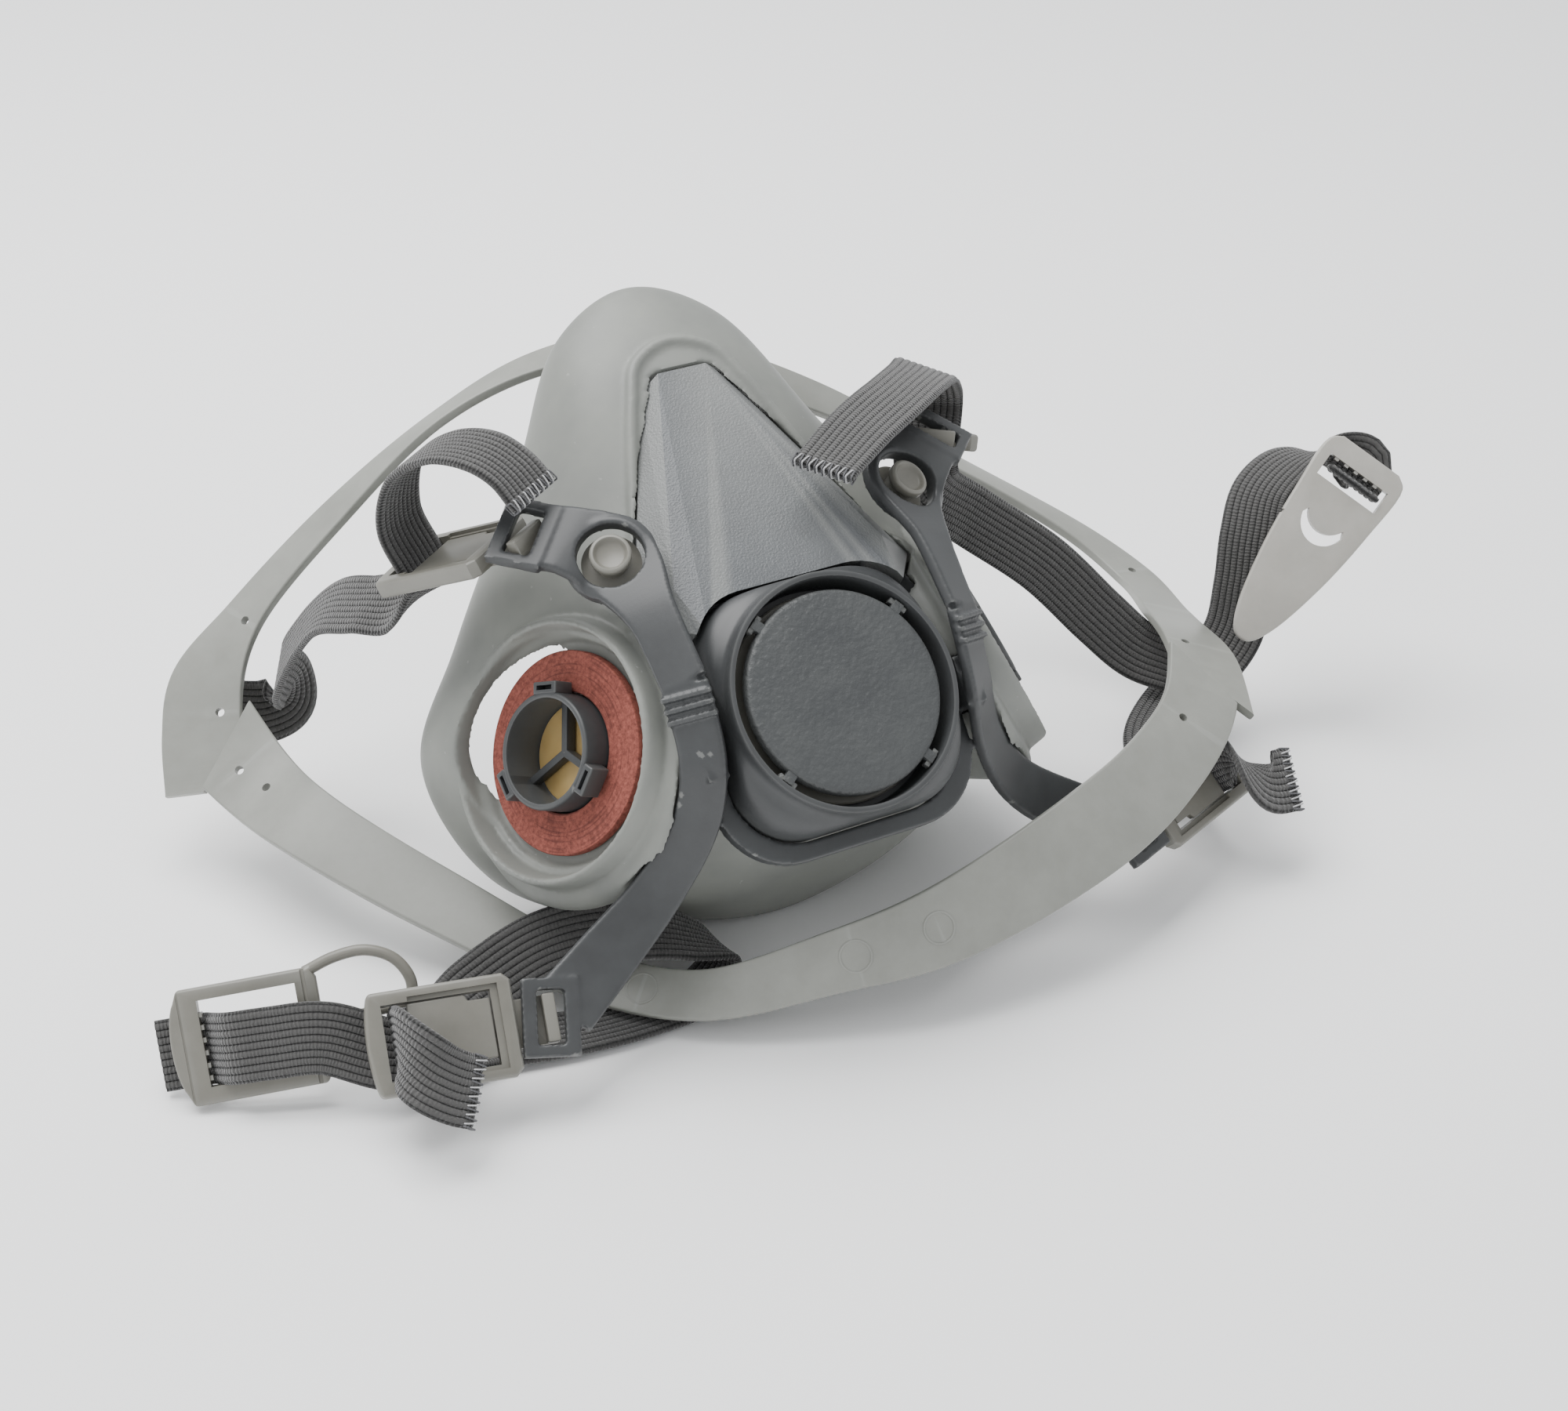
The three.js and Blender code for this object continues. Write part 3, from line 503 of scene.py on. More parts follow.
def brick(name, low, high, matrix=None):
    """A plain box, to be cut, rounded or joined to something."""
    outline = [(low[0], low[1]), (high[0], low[1]), (high[0], high[1]), (low[0], high[1])]
    return plate(name, outline, low[2], high[2], matrix)


def disc(name, radius, low, high, matrix=None, sides=96):
    """A round slab."""
    angles = np.linspace(0, 2 * math.pi, sides, endpoint=False)
    outline = [(radius * math.cos(a), radius * math.sin(a)) for a in angles]
    return plate(name, outline, low, high, matrix)


# %% Smooth curves
def through(keys, per_span, closed=False):
    """Rows along a smooth curve through every key; x, y, z come first in each row."""
    keys = np.asarray(keys, float)
    if closed:
        padded = np.vstack([keys[-1:], keys, keys[:2]])
    else:
        padded = np.vstack([2 * keys[0] - keys[1], keys, 2 * keys[-1] - keys[-2]])
    t = np.linspace(0, 1, per_span, endpoint=False)[:, None]
    rows = []
    for a, b, c, d in zip(padded, padded[1:], padded[2:], padded[3:]):
        pairs = ((a, b), (b, c), (c, d))
        g0, g1, g2 = (max(np.linalg.norm(q[:3] - p[:3]) ** 0.5, 1e-4) for p, q in pairs)
        leave = ((b - a) / g0 - (c - a) / (g0 + g1) + (c - b) / g1) * g1
        reach = ((c - b) / g1 - (d - b) / (g1 + g2) + (d - c) / g2) * g1
        rows.append(
            (2 * t**3 - 3 * t**2 + 1) * b + (t**3 - 2 * t**2 + t) * leave
            + (3 * t**2 - 2 * t**3) * c + (t**3 - t**2) * reach)
    if not closed:
        rows.append(keys[-1:])
    return np.vstack(rows)


def evenly(rows, step):
    """The same curve with rows about `step` millimetres apart."""
    lengths = np.linalg.norm(np.diff(rows[:, :3], axis=0), axis=1)
    reached = np.concatenate([[0], np.cumsum(lengths)])
    count = max(int(reached[-1] / step), 2)
    marks = np.linspace(0, reached[-1], count + 1)
    columns = [np.interp(marks, reached, rows[:, k]) for k in range(rows.shape[1])]
    return np.stack(columns, axis=1), marks


def unit(vectors):
    return vectors / np.linalg.norm(vectors, axis=-1, keepdims=True)


def swept(name, rows, section):
    """Carries section(width), points of (across, out), along rows of place, face, width."""
    along = unit(np.gradient(rows[:, :3], axis=0))
    face = rows[:, 3:6]
    face = unit(face - along * np.sum(face * along, axis=1, keepdims=True))
    side = np.cross(face, along)
    loops = []
    for row, out, across in zip(rows, face, side):
        flat = section(row[6])
        loops.append(row[:3] + flat[:, :1] * across + flat[:, 1:] * out)
    return skin(name, loops)


def rounded_section(thick, edge):
    """A flat section with round edges, as a function of its width."""
    def section(width):
        half, high = width / 2 - edge, thick / 2 - edge
        points = []
        for k, (sx, sy) in enumerate(((1, 1), (-1, 1), (-1, -1), (1, -1))):
            for a in np.linspace(0, math.pi / 2, 5) + k * math.pi / 2:
                points.append((sx * half + edge * math.cos(a), sy * high + edge * math.sin(a)))
        return np.array(points)
    return section


# %% Joining, cutting and rounding
def settle(piece):
    """Makes a piece's modifiers permanent."""
    graph = bpy.context.evaluated_depsgraph_get()
    piece.data = bpy.data.meshes.new_from_object(piece.evaluated_get(graph))
    piece.modifiers.clear()
    return piece


def combine(piece, others, how="UNION", solver="MANIFOLD"):
    """Joins other solids to a piece, or cuts them away, and uses them up."""
    for other in others:
        step = piece.modifiers.new(how.lower(), "BOOLEAN")
        step.operation, step.solver, step.object = how, solver, other
        settle(piece)
        bpy.data.objects.remove(other)
    return piece


def cut(piece, others, solver="MANIFOLD"):
    return combine(piece, others, "DIFFERENCE", solver)


def remoulded(piece, grid, passes):
    """Rebuilds a solid on an even grid and softens it, which rounds every edge."""
    even = piece.modifiers.new("even", "REMESH")
    even.mode, even.voxel_size = "VOXEL", grid
    if passes:
        soft = piece.modifiers.new("soft", "SMOOTH")
        soft.factor, soft.iterations = 0.5, passes
    return settle(piece)


def bevelled(piece, width, segments=3, angle=35):
    """Rounds the sharp edges of a clean moulding."""
    edge = piece.modifiers.new("edge", "BEVEL")
    edge.width, edge.segments = width, segments
    edge.limit_method, edge.angle_limit = "ANGLE", math.radians(angle)
    edge.harden_normals = False
    return settle(piece)


def hand_over(piece, material, nodes, body="mask", smooth=40):
    """Carries a finished piece to the frame, gives it its finish and lets it ride."""
    piece.data.transform(TO_FRAME)
    if material is not None:
        piece.data.materials.clear()
        piece.data.materials.append(material)
    for polygon in piece.data.polygons:
        polygon.use_smooth = True
    piece.data.set_sharp_from_angle(angle=math.radians(smooth))
    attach(piece, body)
    if nodes:
        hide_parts(*nodes)
    print(f"{piece.name}: {len(piece.data.polygons)} faces, rides on {body}")
    return piece


# %% [markdown]
# ## Facepiece
# The facepiece is one soft shell. Its outline changes from a narrow nose to wide cheeks
# and a cupped chin, so a few outlines at rising distances from the face say
# everything; smooth curves join them. The boss around each port is merged on a coarse
# grid and relaxed, which gives the broad fillets of real rubber. The thin port lip and
# the bead beside the nose panel come after that, on a finer grid that keeps them crisp.

# %% Facepiece outlines
SHELL = 3.0
OUTLINES = [
    (0, [(0, 58), (15, 51), (28, 28), (48, -2), (61, -24), (50, -52), (23, -59.5), (0, -60)]),
    (9, [(0, 60.5), (17, 53), (31, 30), (52, -2), (64, -24), (52, -53), (24, -62), (0, -63)]),
    (22, [(0, 50), (16, 46), (31, 26), (50, -3), (60, -24), (48, -54), (21, -66), (0, -70)]),
    (38, [(0, 27), (14, 23), (29, 11), (41, -6), (45, -24), (38, -49), (19, -61), (0, -62)]),
    (50, [(0, 10), (14, 7), (26, 0), (33, -10), (34, -24), (29, -42), (15, -52), (0, -54)]),
    (60, [(0, 0), (11, -2), (19, -6), (24, -14), (24, -26), (20, -36), (11, -43), (0, -45)]),
]
HEART = -15.0  # height on the face of the point that every outline shrinks towards


def outline_grid():
    """All outlines as smooth loops, then smooth rows between them: (rows, points, 3)."""
    loops = []
    for forward, half in OUTLINES:
        other_side = [(-x, up) for x, up in reversed(half[1:-1])]
        keys = [(x, up, 0.0) for x, up in half + other_side]
        loop = through(keys, 12, closed=True)
        loop[:, 2] = forward
        loops.append(loop)
    columns = [through([loop[j] for loop in loops], 10) for j in range(len(loops[0]))]
    return np.stack(columns, axis=1)


GRID = outline_grid()
print("facepiece rows and points:", GRID.shape[:2])


def on_face(flat):
    """Points of (across, up, forward of the seal) in bench millimetres."""
    flat = np.asarray(flat, float)
    place = np.array(SEAL_CENTRE) + flat[:, 1:2] * np.array(SEAL_UP)
    place = place + flat[:, 2:3] * np.array(SEAL_FORWARD)
    place[:, 0] = flat[:, 0]
    return place


def shrunk(loop, inset, forward):
    """A loop drawn in towards the heart of the face by `inset`."""
    spokes = loop[:, :2] - np.array([0.0, HEART])
    reach = np.linalg.norm(spokes, axis=1, keepdims=True)
    flat = np.array([0.0, HEART]) + spokes * (reach - inset) / reach
    return on_face(np.column_stack([flat, np.full(len(loop), forward)]))


# %% Facepiece body
def facepiece_body():
    """The outside of the shell with its two port bosses, relaxed together."""
    rows = [shrunk(row, 0, row[0, 2]) for row in GRID]
    body = skin("facepiece", rows)
    for frame_of_port in PORTS.values():
        boss = [(0, -22), (24, -20), (29, -12), (30.5, -7.5), (29.8, -5.2), (27.5, -4.2), (0, -4)]
        combine(body, [turned("boss", boss, frame_of_port)])
    return remoulded(body, 1.0, 14)


def nose_bead(body):
    """A raised bead that follows the skin beside the nose panel."""
    tree_of_skin = BVHTree.FromObject(body, bpy.context.evaluated_depsgraph_get())
    side = [(32.2, 27, 76.5), (27, 36, 83), (20.5, 48, 92), (12.6, 63, 103.2), (8.4, 69.5, 107.6)]
    route = side + [(0, 72.5, 109.2)] + [flipped(p) for p in reversed(side)]
    rows = []
    for place in through(route, 12):
        spot, normal, _, _ = tree_of_skin.find_nearest(Vector(place))
        rows.append((*(spot + normal * 0.1), *normal, 2.4))
    return swept("bead", np.array(rows), rounded_section(2.4, 1.19))


def facepiece():
    """The finished shell."""
    body = facepiece_body()
    extras = [nose_bead(body)]
    for frame_of_port in PORTS.values():
        lip = [(23.2, -7), (26.6, -7), (26.3, -3), (25.8, 0), (25.2, 0.8), (24.4, 0.7), (23.6, -3)]
        extras.append(turned("lip", lip, frame_of_port))
    combine(body, extras)
    wide = [shrunk(GRID[0], 9.5, -3.0), shrunk(GRID[0], 9.5, 1.3)]
    wide += [shrunk(GRID[4], 6.0, 2.4), shrunk(GRID[7], SHELL + 0.4, 5.0)]
    wide += [shrunk(row, SHELL, row[0, 2] - SHELL) for row in GRID[12::2]]
    cuts = [skin("hollow", wide)]
    for frame_of_port in PORTS.values():
        dish = [(0, -5.9), (21.6, -5.9), (22.2, -4.2), (23.4, -2.5), (23.8, 1), (25.8, 9), (0, 9)]
        cuts.append(turned("dish", dish, frame_of_port))
        cuts.append(disc("bore", 11.7, -30, 0, frame_of_port))
        cuts.append(disc("flange_room", 15.7, -32, -12.1, frame_of_port))
    cuts.append(rounded_square("housing_room", 24.3, 13, -16.3, 8, VALVE))
    cuts.append(disc("airway", 16, -40, 0, VALVE))
    cuts.append(nose_panel_solid("panel_room", 0.55))
    cuts += yoke_solids(0.35, 0.35)
    cuts.append(brick("table_room", (-120, -80, -30), (120, 160, 0.1)))
    cut(body, cuts)
    return remoulded(body, 0.55, 2)


# %% Rounded squares and the nose panel
def square_loop(half, corner, height, per_corner=12):
    """A square loop with round corners at one height."""
    flat = half - corner
    points = []
    for k, (sx, sy) in enumerate(((1, 1), (-1, 1), (-1, -1), (1, -1))):
        for a in np.linspace(0, math.pi / 2, per_corner) + k * math.pi / 2:
            x, y = sx * flat + corner * math.cos(a), sy * flat + corner * math.sin(a)
            points.append((x, y, height))
    return np.array(points)


def rounded_square(name, half, corner, low, high, matrix):
    return moved(skin(name, [square_loop(half, corner, z) for z in (low, high)]), matrix)


PANEL_TOP = [(5.3, 66, 106.5), (22.7, 26, 82), (21, 15, 77), (9.5, 66, 103), (30, 28, 75)]
PANEL_DROP = Vector((0, 1.2, -2.4))
PANEL_HEART = Vector((0, 38, 88))


def nose_panel_solid(name, grow):
    """The faceted wedge over the nose, swollen by about `grow` to cut its own recess."""
    tops = [Vector(p) for p in PANEL_TOP + [flipped(p) for p in PANEL_TOP]]
    shape = bmesh.new()
    for top in tops:
        for spot in (top, top + PANEL_DROP):
            shape.verts.new(spot + (spot - PANEL_HEART).normalized() * grow * 1.6)
    bmesh.ops.convex_hull(shape, input=shape.verts)
    bmesh.ops.delete(shape, geom=[v for v in shape.verts if not v.link_faces], context="VERTS")
    bmesh.ops.dissolve_limit(
        shape, angle_limit=math.radians(1), verts=shape.verts, edges=shape.edges)
    mesh = bpy.data.meshes.new(name)
    shape.to_mesh(mesh)
    shape.free()
    made = bpy.data.objects.new(name, mesh)
    bpy.context.scene.collection.objects.link(made)
    return made


# %% [markdown]
# ## Harness yoke
# One dark moulding carries all four straps. A rounded frame sits behind the valve
# housing, and from it an arm runs up to each brow and another down and back to each jaw.
# Each arm is a thin band that twists as it goes, so it is swept along a few listed
# stations of place, face direction and width.

# %% Yoke stations
UPPER_ARM = [
    (43.5, 42.5, 91, 0.25, -0.35, 0.9, 14), (38, 38.5, 90.4, 0.25, -0.4, 0.9, 15),
    (32, 33, 87.5, 0.3, -0.55, 0.8, 17), (30.5, 20, 82, 0.45, -0.5, 0.7, 10),
    (30, 8, 73, 0.55, -0.65, 0.5, 9),
]
LOWER_ARM = [
    (30, 8, 73, 0.55, -0.65, 0.5, 9), (30, 1, 60, 0.6, -0.75, 0.3, 9),
    (32, 0, 48, 0.6, -0.8, 0.1, 9), (40, 1, 34, 0.5, -0.85, 0.2, 10),
    (53, -1, 23.5, 0.3, -0.8, 0.5, 12), (63, -4.6, 18.4, 0.15, -0.7, 0.7, 13),
]
YOKE_THICK = 2.4


def mirrored_copy(piece):
    """The same solid on the other side of the mask."""
    twin = bpy.data.objects.new(piece.name, piece.data.copy())
    twin.data.transform(Matrix.Scale(-1, 4, (1, 0, 0)))
    twin.data.flip_normals()
    bpy.context.scene.collection.objects.link(twin)
    return twin


def yoke_solids(grow, thicken=0.0):
    """The yoke's overlapping parts, swollen by `grow` when they cut its room."""
    thick = YOKE_THICK + 2 * thicken
    one_side = []
    for name, keys in (("upper_arm", UPPER_ARM), ("lower_arm", LOWER_ARM)):
        wider = [(*key[:6], key[6] + 2 * grow) for key in keys]
        one_side.append(swept(name, through(wider, 14), rounded_section(thick, 0.6)))
    one_side.append(disc("stud_seat", 9 + grow, -thick / 2, thick / 2, STUDS["right"]))
    for end in (UPPER_END, LOWER_END):
        low, high = (-5.4 - grow, -7.4 - grow, -thick / 2), (5.4 + grow, 7.4 + grow, thick / 2)
        one_side.append(brick("arm_end", low, high, end))
    tie = ((26, -9 - grow, -15 - grow), (30.4 + grow, 1 + grow, -4.6))
    one_side.append(brick("tie", *tie, VALVE))
    ring = rounded_square("yoke_ring", 28 + grow, 15, -15 - grow, -12 + grow, VALVE)
    return [ring] + one_side + [mirrored_copy(piece) for piece in one_side]


print("stations along an upper and a lower arm:", len(UPPER_ARM), len(LOWER_ARM))


# %% Yoke
def arm_frame(rows, k, across=0.0):
    """The place and turn of one row of a swept band: X along it, Z out of its face."""
    along = Vector(rows[min(k + 1, len(rows) - 1), :3] - rows[max(k - 1, 0), :3]).normalized()
    out = Vector(rows[k, 3:6])
    side = out.cross(along).normalized()
    return axes(Vector(rows[k, :3]) + side * across, out - along * out.dot(along), along)


def harness_yoke():
    """The whole yoke, with its stud holes, buckle slots and grip ridges."""
    solids = yoke_solids(0)
    rows = through(LOWER_ARM, 14)
    for k in (2, 4, 6):
        ridge = brick("ridge", (-0.5, -4.9, 0), (0.5, 4.9, 2.05), arm_frame(rows, k))
        solids += [ridge, mirrored_copy(ridge)]
    for stud_frame in STUDS.values():
        collar = [(6.3, -1), (8.2, -1), (8.2, 1.5), (7.7, 1.9), (6.9, 1.9), (6.3, 1.5)]
        solids.append(turned("collar", collar, stud_frame))
    body = combine(solids[0], solids[1:])
    holes = []
    for stud_frame in STUDS.values():
        holes.append(disc("stud_hole", 6.5, -6, 6, stud_frame))
    for end in (UPPER_END, LOWER_END):
        slot_cut = brick("slot", (-2.6, -5.2, -5), (2.6, 5.2, 5), end)
        holes += [slot_cut, mirrored_copy(slot_cut)]
    for name in ("upper_right", "lower_right"):
        hook_room = brick("hook_room", (-1.6, -5, -3.6), (8, 5, -1.5), BUCKLES[name])
        holes += [hook_room, mirrored_copy(hook_room)]
    holes.append(rounded_square("housing_room", 24.3, 13, -16, 9, VALVE))
    holes.append(nose_panel_solid("panel_room", 0.35))
    cut(body, holes)
    remoulded(body, 0.42, 2)
    return hand_over(body, DARK_NYLON, ["harness_yoke"])


shell = hand_over(facepiece(), ELASTOMER, ["facepiece"])
shell.name = "soft_facepiece"
yoke = harness_yoke()
yoke.name = "yoke_moulding"

# %% [markdown]
# ## Nose panel
# The panel is a crisp wedge with flat facets, so it is made from the same corner points
# as its recess and only its edges are rounded, by 0.35 mm. Its finish does the rest.

# %% Nose panel
panel = nose_panel_solid("nose_panel", 0)
cut(panel, [rounded_square("housing_room", 24.6, 13, -16, 8, VALVE)], "EXACT")
bevelled(panel, 0.35, 2, 8)
hand_over(panel, SPARKED_NYLON, ["front_panel"], smooth=5)

# %% [markdown]
# ## Valve housing and cover
# The housing turns from a rounded square at its root to a round, thin-walled rim. Every
# loop has the same number of points, so one skin can morph from square to circle by
# letting the corner radius grow. The cover is a pebbled disc on four thin spokes.

# %% Valve housing
HOUSING_ROWS = [  # half width, corner radius, height along the valve axis
    (23.5, 13, -16), (24, 13, -15.5), (24, 13.2, -9), (23.95, 14.4, -6.8), (23.9, 16.6, -5.2),
    (23.8, 19.6, -4.1), (23.6, 22, -3.2), (23.5, 23.2, -2.2), (23.5, 23.5, -1.2),
    (23.4, 23.4, -0.4), (23.25, 23.25, -0.1), (23, 23, 0), (22.6, 22.6, 0),
    (22.3, 22.3, -0.12), (22.15, 22.15, -0.5), (22, 22, -8.5), (21.6, 21.6, -9),
    (16, 16, -9), (15.5, 15.5, -9.4), (15.5, 15.5, -16),
]
housing = skin(
    "valve_body", [square_loop(h, c, z, 24) for h, c, z in HOUSING_ROWS], closed=True)
moved(housing, VALVE)
hand_over(housing, DARK_NYLON, ["valve_housing"])

# %% Valve cover
COVER_EDGE = [
    (0, -3.2), (19.5, -3.2), (19.8, -2.9), (19.8, -1.25), (19.62, -0.8), (19.2, -0.52),
    (18.6, -0.4), (9, -0.35), (0, -0.35),
]
cover = turned("valve_cover", COVER_EDGE)
for k in range(4):
    turn = Matrix.Rotation(math.radians(38 + 90 * k), 4, "Z")
    spoke = brick("spoke", (18, -1.1, -2.6), (21.8, 1.1, -0.9), turn)
    foot = brick("foot", (20.6, -2, -3), (21.8, 2, -1.4), turn)
    combine(cover, [bevelled(spoke, 0.25, 2), bevelled(foot, 0.25, 2)])
moved(cover, VALVE)
hand_over(cover, PEBBLED_NYLON, ["exhalation_cover"], body="exhalation_cover")

# %% Seat and flap behind the cover
seat = turned("valve_seat_ring", [
    (13.5, -8.8), (20.5, -8.8), (20.5, -7.3), (20.2, -7), (14, -7), (13.5, -7.4)])
for k in range(6):
    turn = Matrix.Rotation(math.radians(60 * k), 4, "Z")
    combine(seat, [brick("spider", (0, -0.8, -8.6), (14.5, 0.8, -7.2), turn)])
hand_over(moved(seat, VALVE), PALE_NYLON, ["valve_seat"])
flap = turned("exhalation_flap", [
    (0, -6.6), (15.8, -6.55), (16.5, -6.3), (16.5, -6.1), (15.9, -5.85), (2, -5.8), (0, -5.8)])
hand_over(
    moved(flap, VALVE), SILICONE, ["exhalation_valve"], body="exhalation_valve")


# %% [markdown]
# ## Filter ports
# Each port is a short tube with three bayonet lugs, clamped through the rubber by an
# inner flange. Its bore has a three-armed spider that the inhalation flap seals against,
# and the gasket ring lies round its root.

# %% Port, gasket and inhalation flap
def inhalation_port(side):
    wall = [
        (10.1, -14), (15.2, -14), (15.4, -13.8), (15.4, -12.6), (15.2, -12.4), (11.4, -12.4),
        (11.4, 1.5), (11.2, 1.85), (10.9, 2), (10.5, 2), (10.2, 1.85), (10.1, 1.5),
    ]
    body = turned(f"bayonet_port_{side}", wall)
    for k in range(3):
        turn = Matrix.Rotation(math.radians(26 + 120 * k), 4, "Z")
        lug = bevelled(brick("lug", (10.8, -3, -2.8), (13.3, 3, 1.95), turn), 0.35, 3)
        arm = bevelled(brick("arm", (0, -0.75, -6), (10.5, 0.75, -3.6), turn), 0.2, 2)
        combine(body, [lug, arm])
    windows = []
    for k in range(3):
        turn = Matrix.Rotation(math.radians(26 + 120 * k), 4, "Z")
        windows.append(brick("window", (11.7, -2, -0.4), (12.6, 2, 3), turn))
    cut(body, windows)
    return moved(body, PORTS[side])


def gasket_ring(side):
    body = turned(f"port_seal_{side}", [
        (11.8, -5.6), (19.5, -5.6), (19.8, -5.35), (19.8, -3.9), (19.6, -3.65), (19.3, -3.6),
        (17, -3.58), (15, -3.6), (12, -3.6), (11.8, -3.8),
    ], sides=160)
    spread = body.data.attributes.new("from_axis", "FLOAT", "POINT")
    for item, vertex in zip(spread.data, body.data.vertices):
        item.value = math.hypot(vertex.co.x, vertex.co.y)
    return moved(body, PORTS[side])


def inhalation_flap(side):
    body = turned(f"inhalation_flap_{side}", [
        (0, -7.4), (9.4, -7.35), (9.8, -7.1), (9.8, -6.7), (9.4, -6.45), (0, -6.4)])
    return moved(body, PORTS[side])


def stud(side):
    body = turned(f"brow_stud_{side}", [
        (0, -3.4), (5.8, -3.4), (5.8, -2.4), (3.2, -1.8), (3, 0.2), (3.6, 0.5), (4, 1),
        (4.05, 2.1), (3.95, 2.55), (3.65, 2.8), (3.3, 2.8), (3, 2.5), (2.8, 2.05), (2.4, 1.8),
        (0, 1.75),
    ], sides=96)
    return moved(body, STUDS[side])


for side in ("left", "right"):
    hand_over(inhalation_port(side), DARK_NYLON, [f"inhalation_port_{side}"])
    hand_over(gasket_ring(side), GASKET, [f"port_gasket_{side}"])
    valve_body = f"inhalation_valve_{side}"
    hand_over(inhalation_flap(side), SILICONE, [valve_body], body=valve_body)
    hand_over(stud(side), PALE_NYLON, [f"stud_{side}"])


# %% [markdown]
# ## Buckles
# Each strap passes down through a pale buckle and is pinched by a stepped plate. The
# buckle hooks a bar through the slot at the arm's end. Its outer end is bowed, and all
# its edges are broken by a moulded chamfer.

# %% Buckles
BUCKLE_START, BUCKLE_LENGTH, BUCKLE_WIDTH = 6.4, 27.0, 19.4
BUCKLE_TOP, BUCKLE_THICK, BUCKLE_WALL = 0.6, 3.6, 2.6
STRAP_GAP = 4.8


def buckle(name):
    half, start = BUCKLE_WIDTH / 2, BUCKLE_START
    end = start + BUCKLE_LENGTH
    bow = [(end - 1.8 + 2.6 * math.cos(a), half * math.sin(a) / math.sin(1.05))
           for a in np.linspace(-1.05, 1.05, 13)]
    outline = [(start, -half + 1.4), (start + 1.4, -half)] + bow + [
        (start + 1.4, half), (start, half - 1.4)]
    body = plate(f"ladder_{name}", outline, BUCKLE_TOP - BUCKLE_THICK, BUCKLE_TOP)
    bevelled(body, 0.75, 3, 50)
    reach = half - BUCKLE_WALL
    window = (start + 4, -reach, -9), (end - BUCKLE_WALL, reach, 9)
    ledge = (start + 2.6, -reach - 0.9, BUCKLE_TOP - 0.7), (end - BUCKLE_WALL - 5, reach + 0.9, 9)
    cut(body, [brick("window", *window), brick("ledge", *ledge)], "EXACT")
    hook = bevelled(brick("hook", (-1.2, -4.6, -3.2), (start + 1, 4.6, -1.8)), 0.3, 2)
    bar = bevelled(brick("bar", (-1.2, -4.6, -3), (1.2, 4.6, 0.8)), 0.4, 3)
    combine(body, [hook, bar])
    return moved(body, BUCKLES[name])


def buckle_plate(name):
    half = BUCKLE_WIDTH / 2 - BUCKLE_WALL - 0.3
    start = BUCKLE_START + 4.3
    reach = BUCKLE_START + BUCKLE_LENGTH - BUCKLE_WALL - STRAP_GAP
    notch = half - 1.2
    outline = [
        (start, -notch), (start + 4, -notch), (start + 4.6, -half), (reach, -half),
        (reach, half), (start + 4.6, half), (start + 4, notch), (start, notch),
    ]
    body = plate(f"cam_plate_{name}", outline, -1.8, -0.15)
    return moved(bevelled(body, 0.3, 3, 30), BUCKLES[name])


for name in BUCKLES:
    hand_over(buckle(name), PALE_NYLON, [f"buckle_{name}"], smooth=30)
    plate_body = f"buckle_plate_{name}"
    hand_over(buckle_plate(name), PALE_NYLON, [plate_body], plate_body, 30)


# %% [markdown]
# ## Elastic straps
# A strap's route is a list of places with the direction its face points, some written in
# the frame of the buckle or clip that holds it. A ribbed section is carried along that
# route in half-millimetre steps, so the ribs are real shape. Each point remembers how far
# along and across the band it lies, which the knitted finish needs.

# %% Strap routes
STRAP_WIDTH, STRAP_THICK, STRAP_RIBS = 13.6, 1.6, 9
SLIT = BUCKLE_START + BUCKLE_LENGTH - BUCKLE_WALL - STRAP_GAP / 2


def from_frame(matrix, stations):
    """Stations written in a piece's own frame, carried to the bench."""
    turn = matrix.to_3x3()
    return [(*(matrix @ Vector(s[:3])), *(turn @ Vector(s[3:]))) for s in stations]


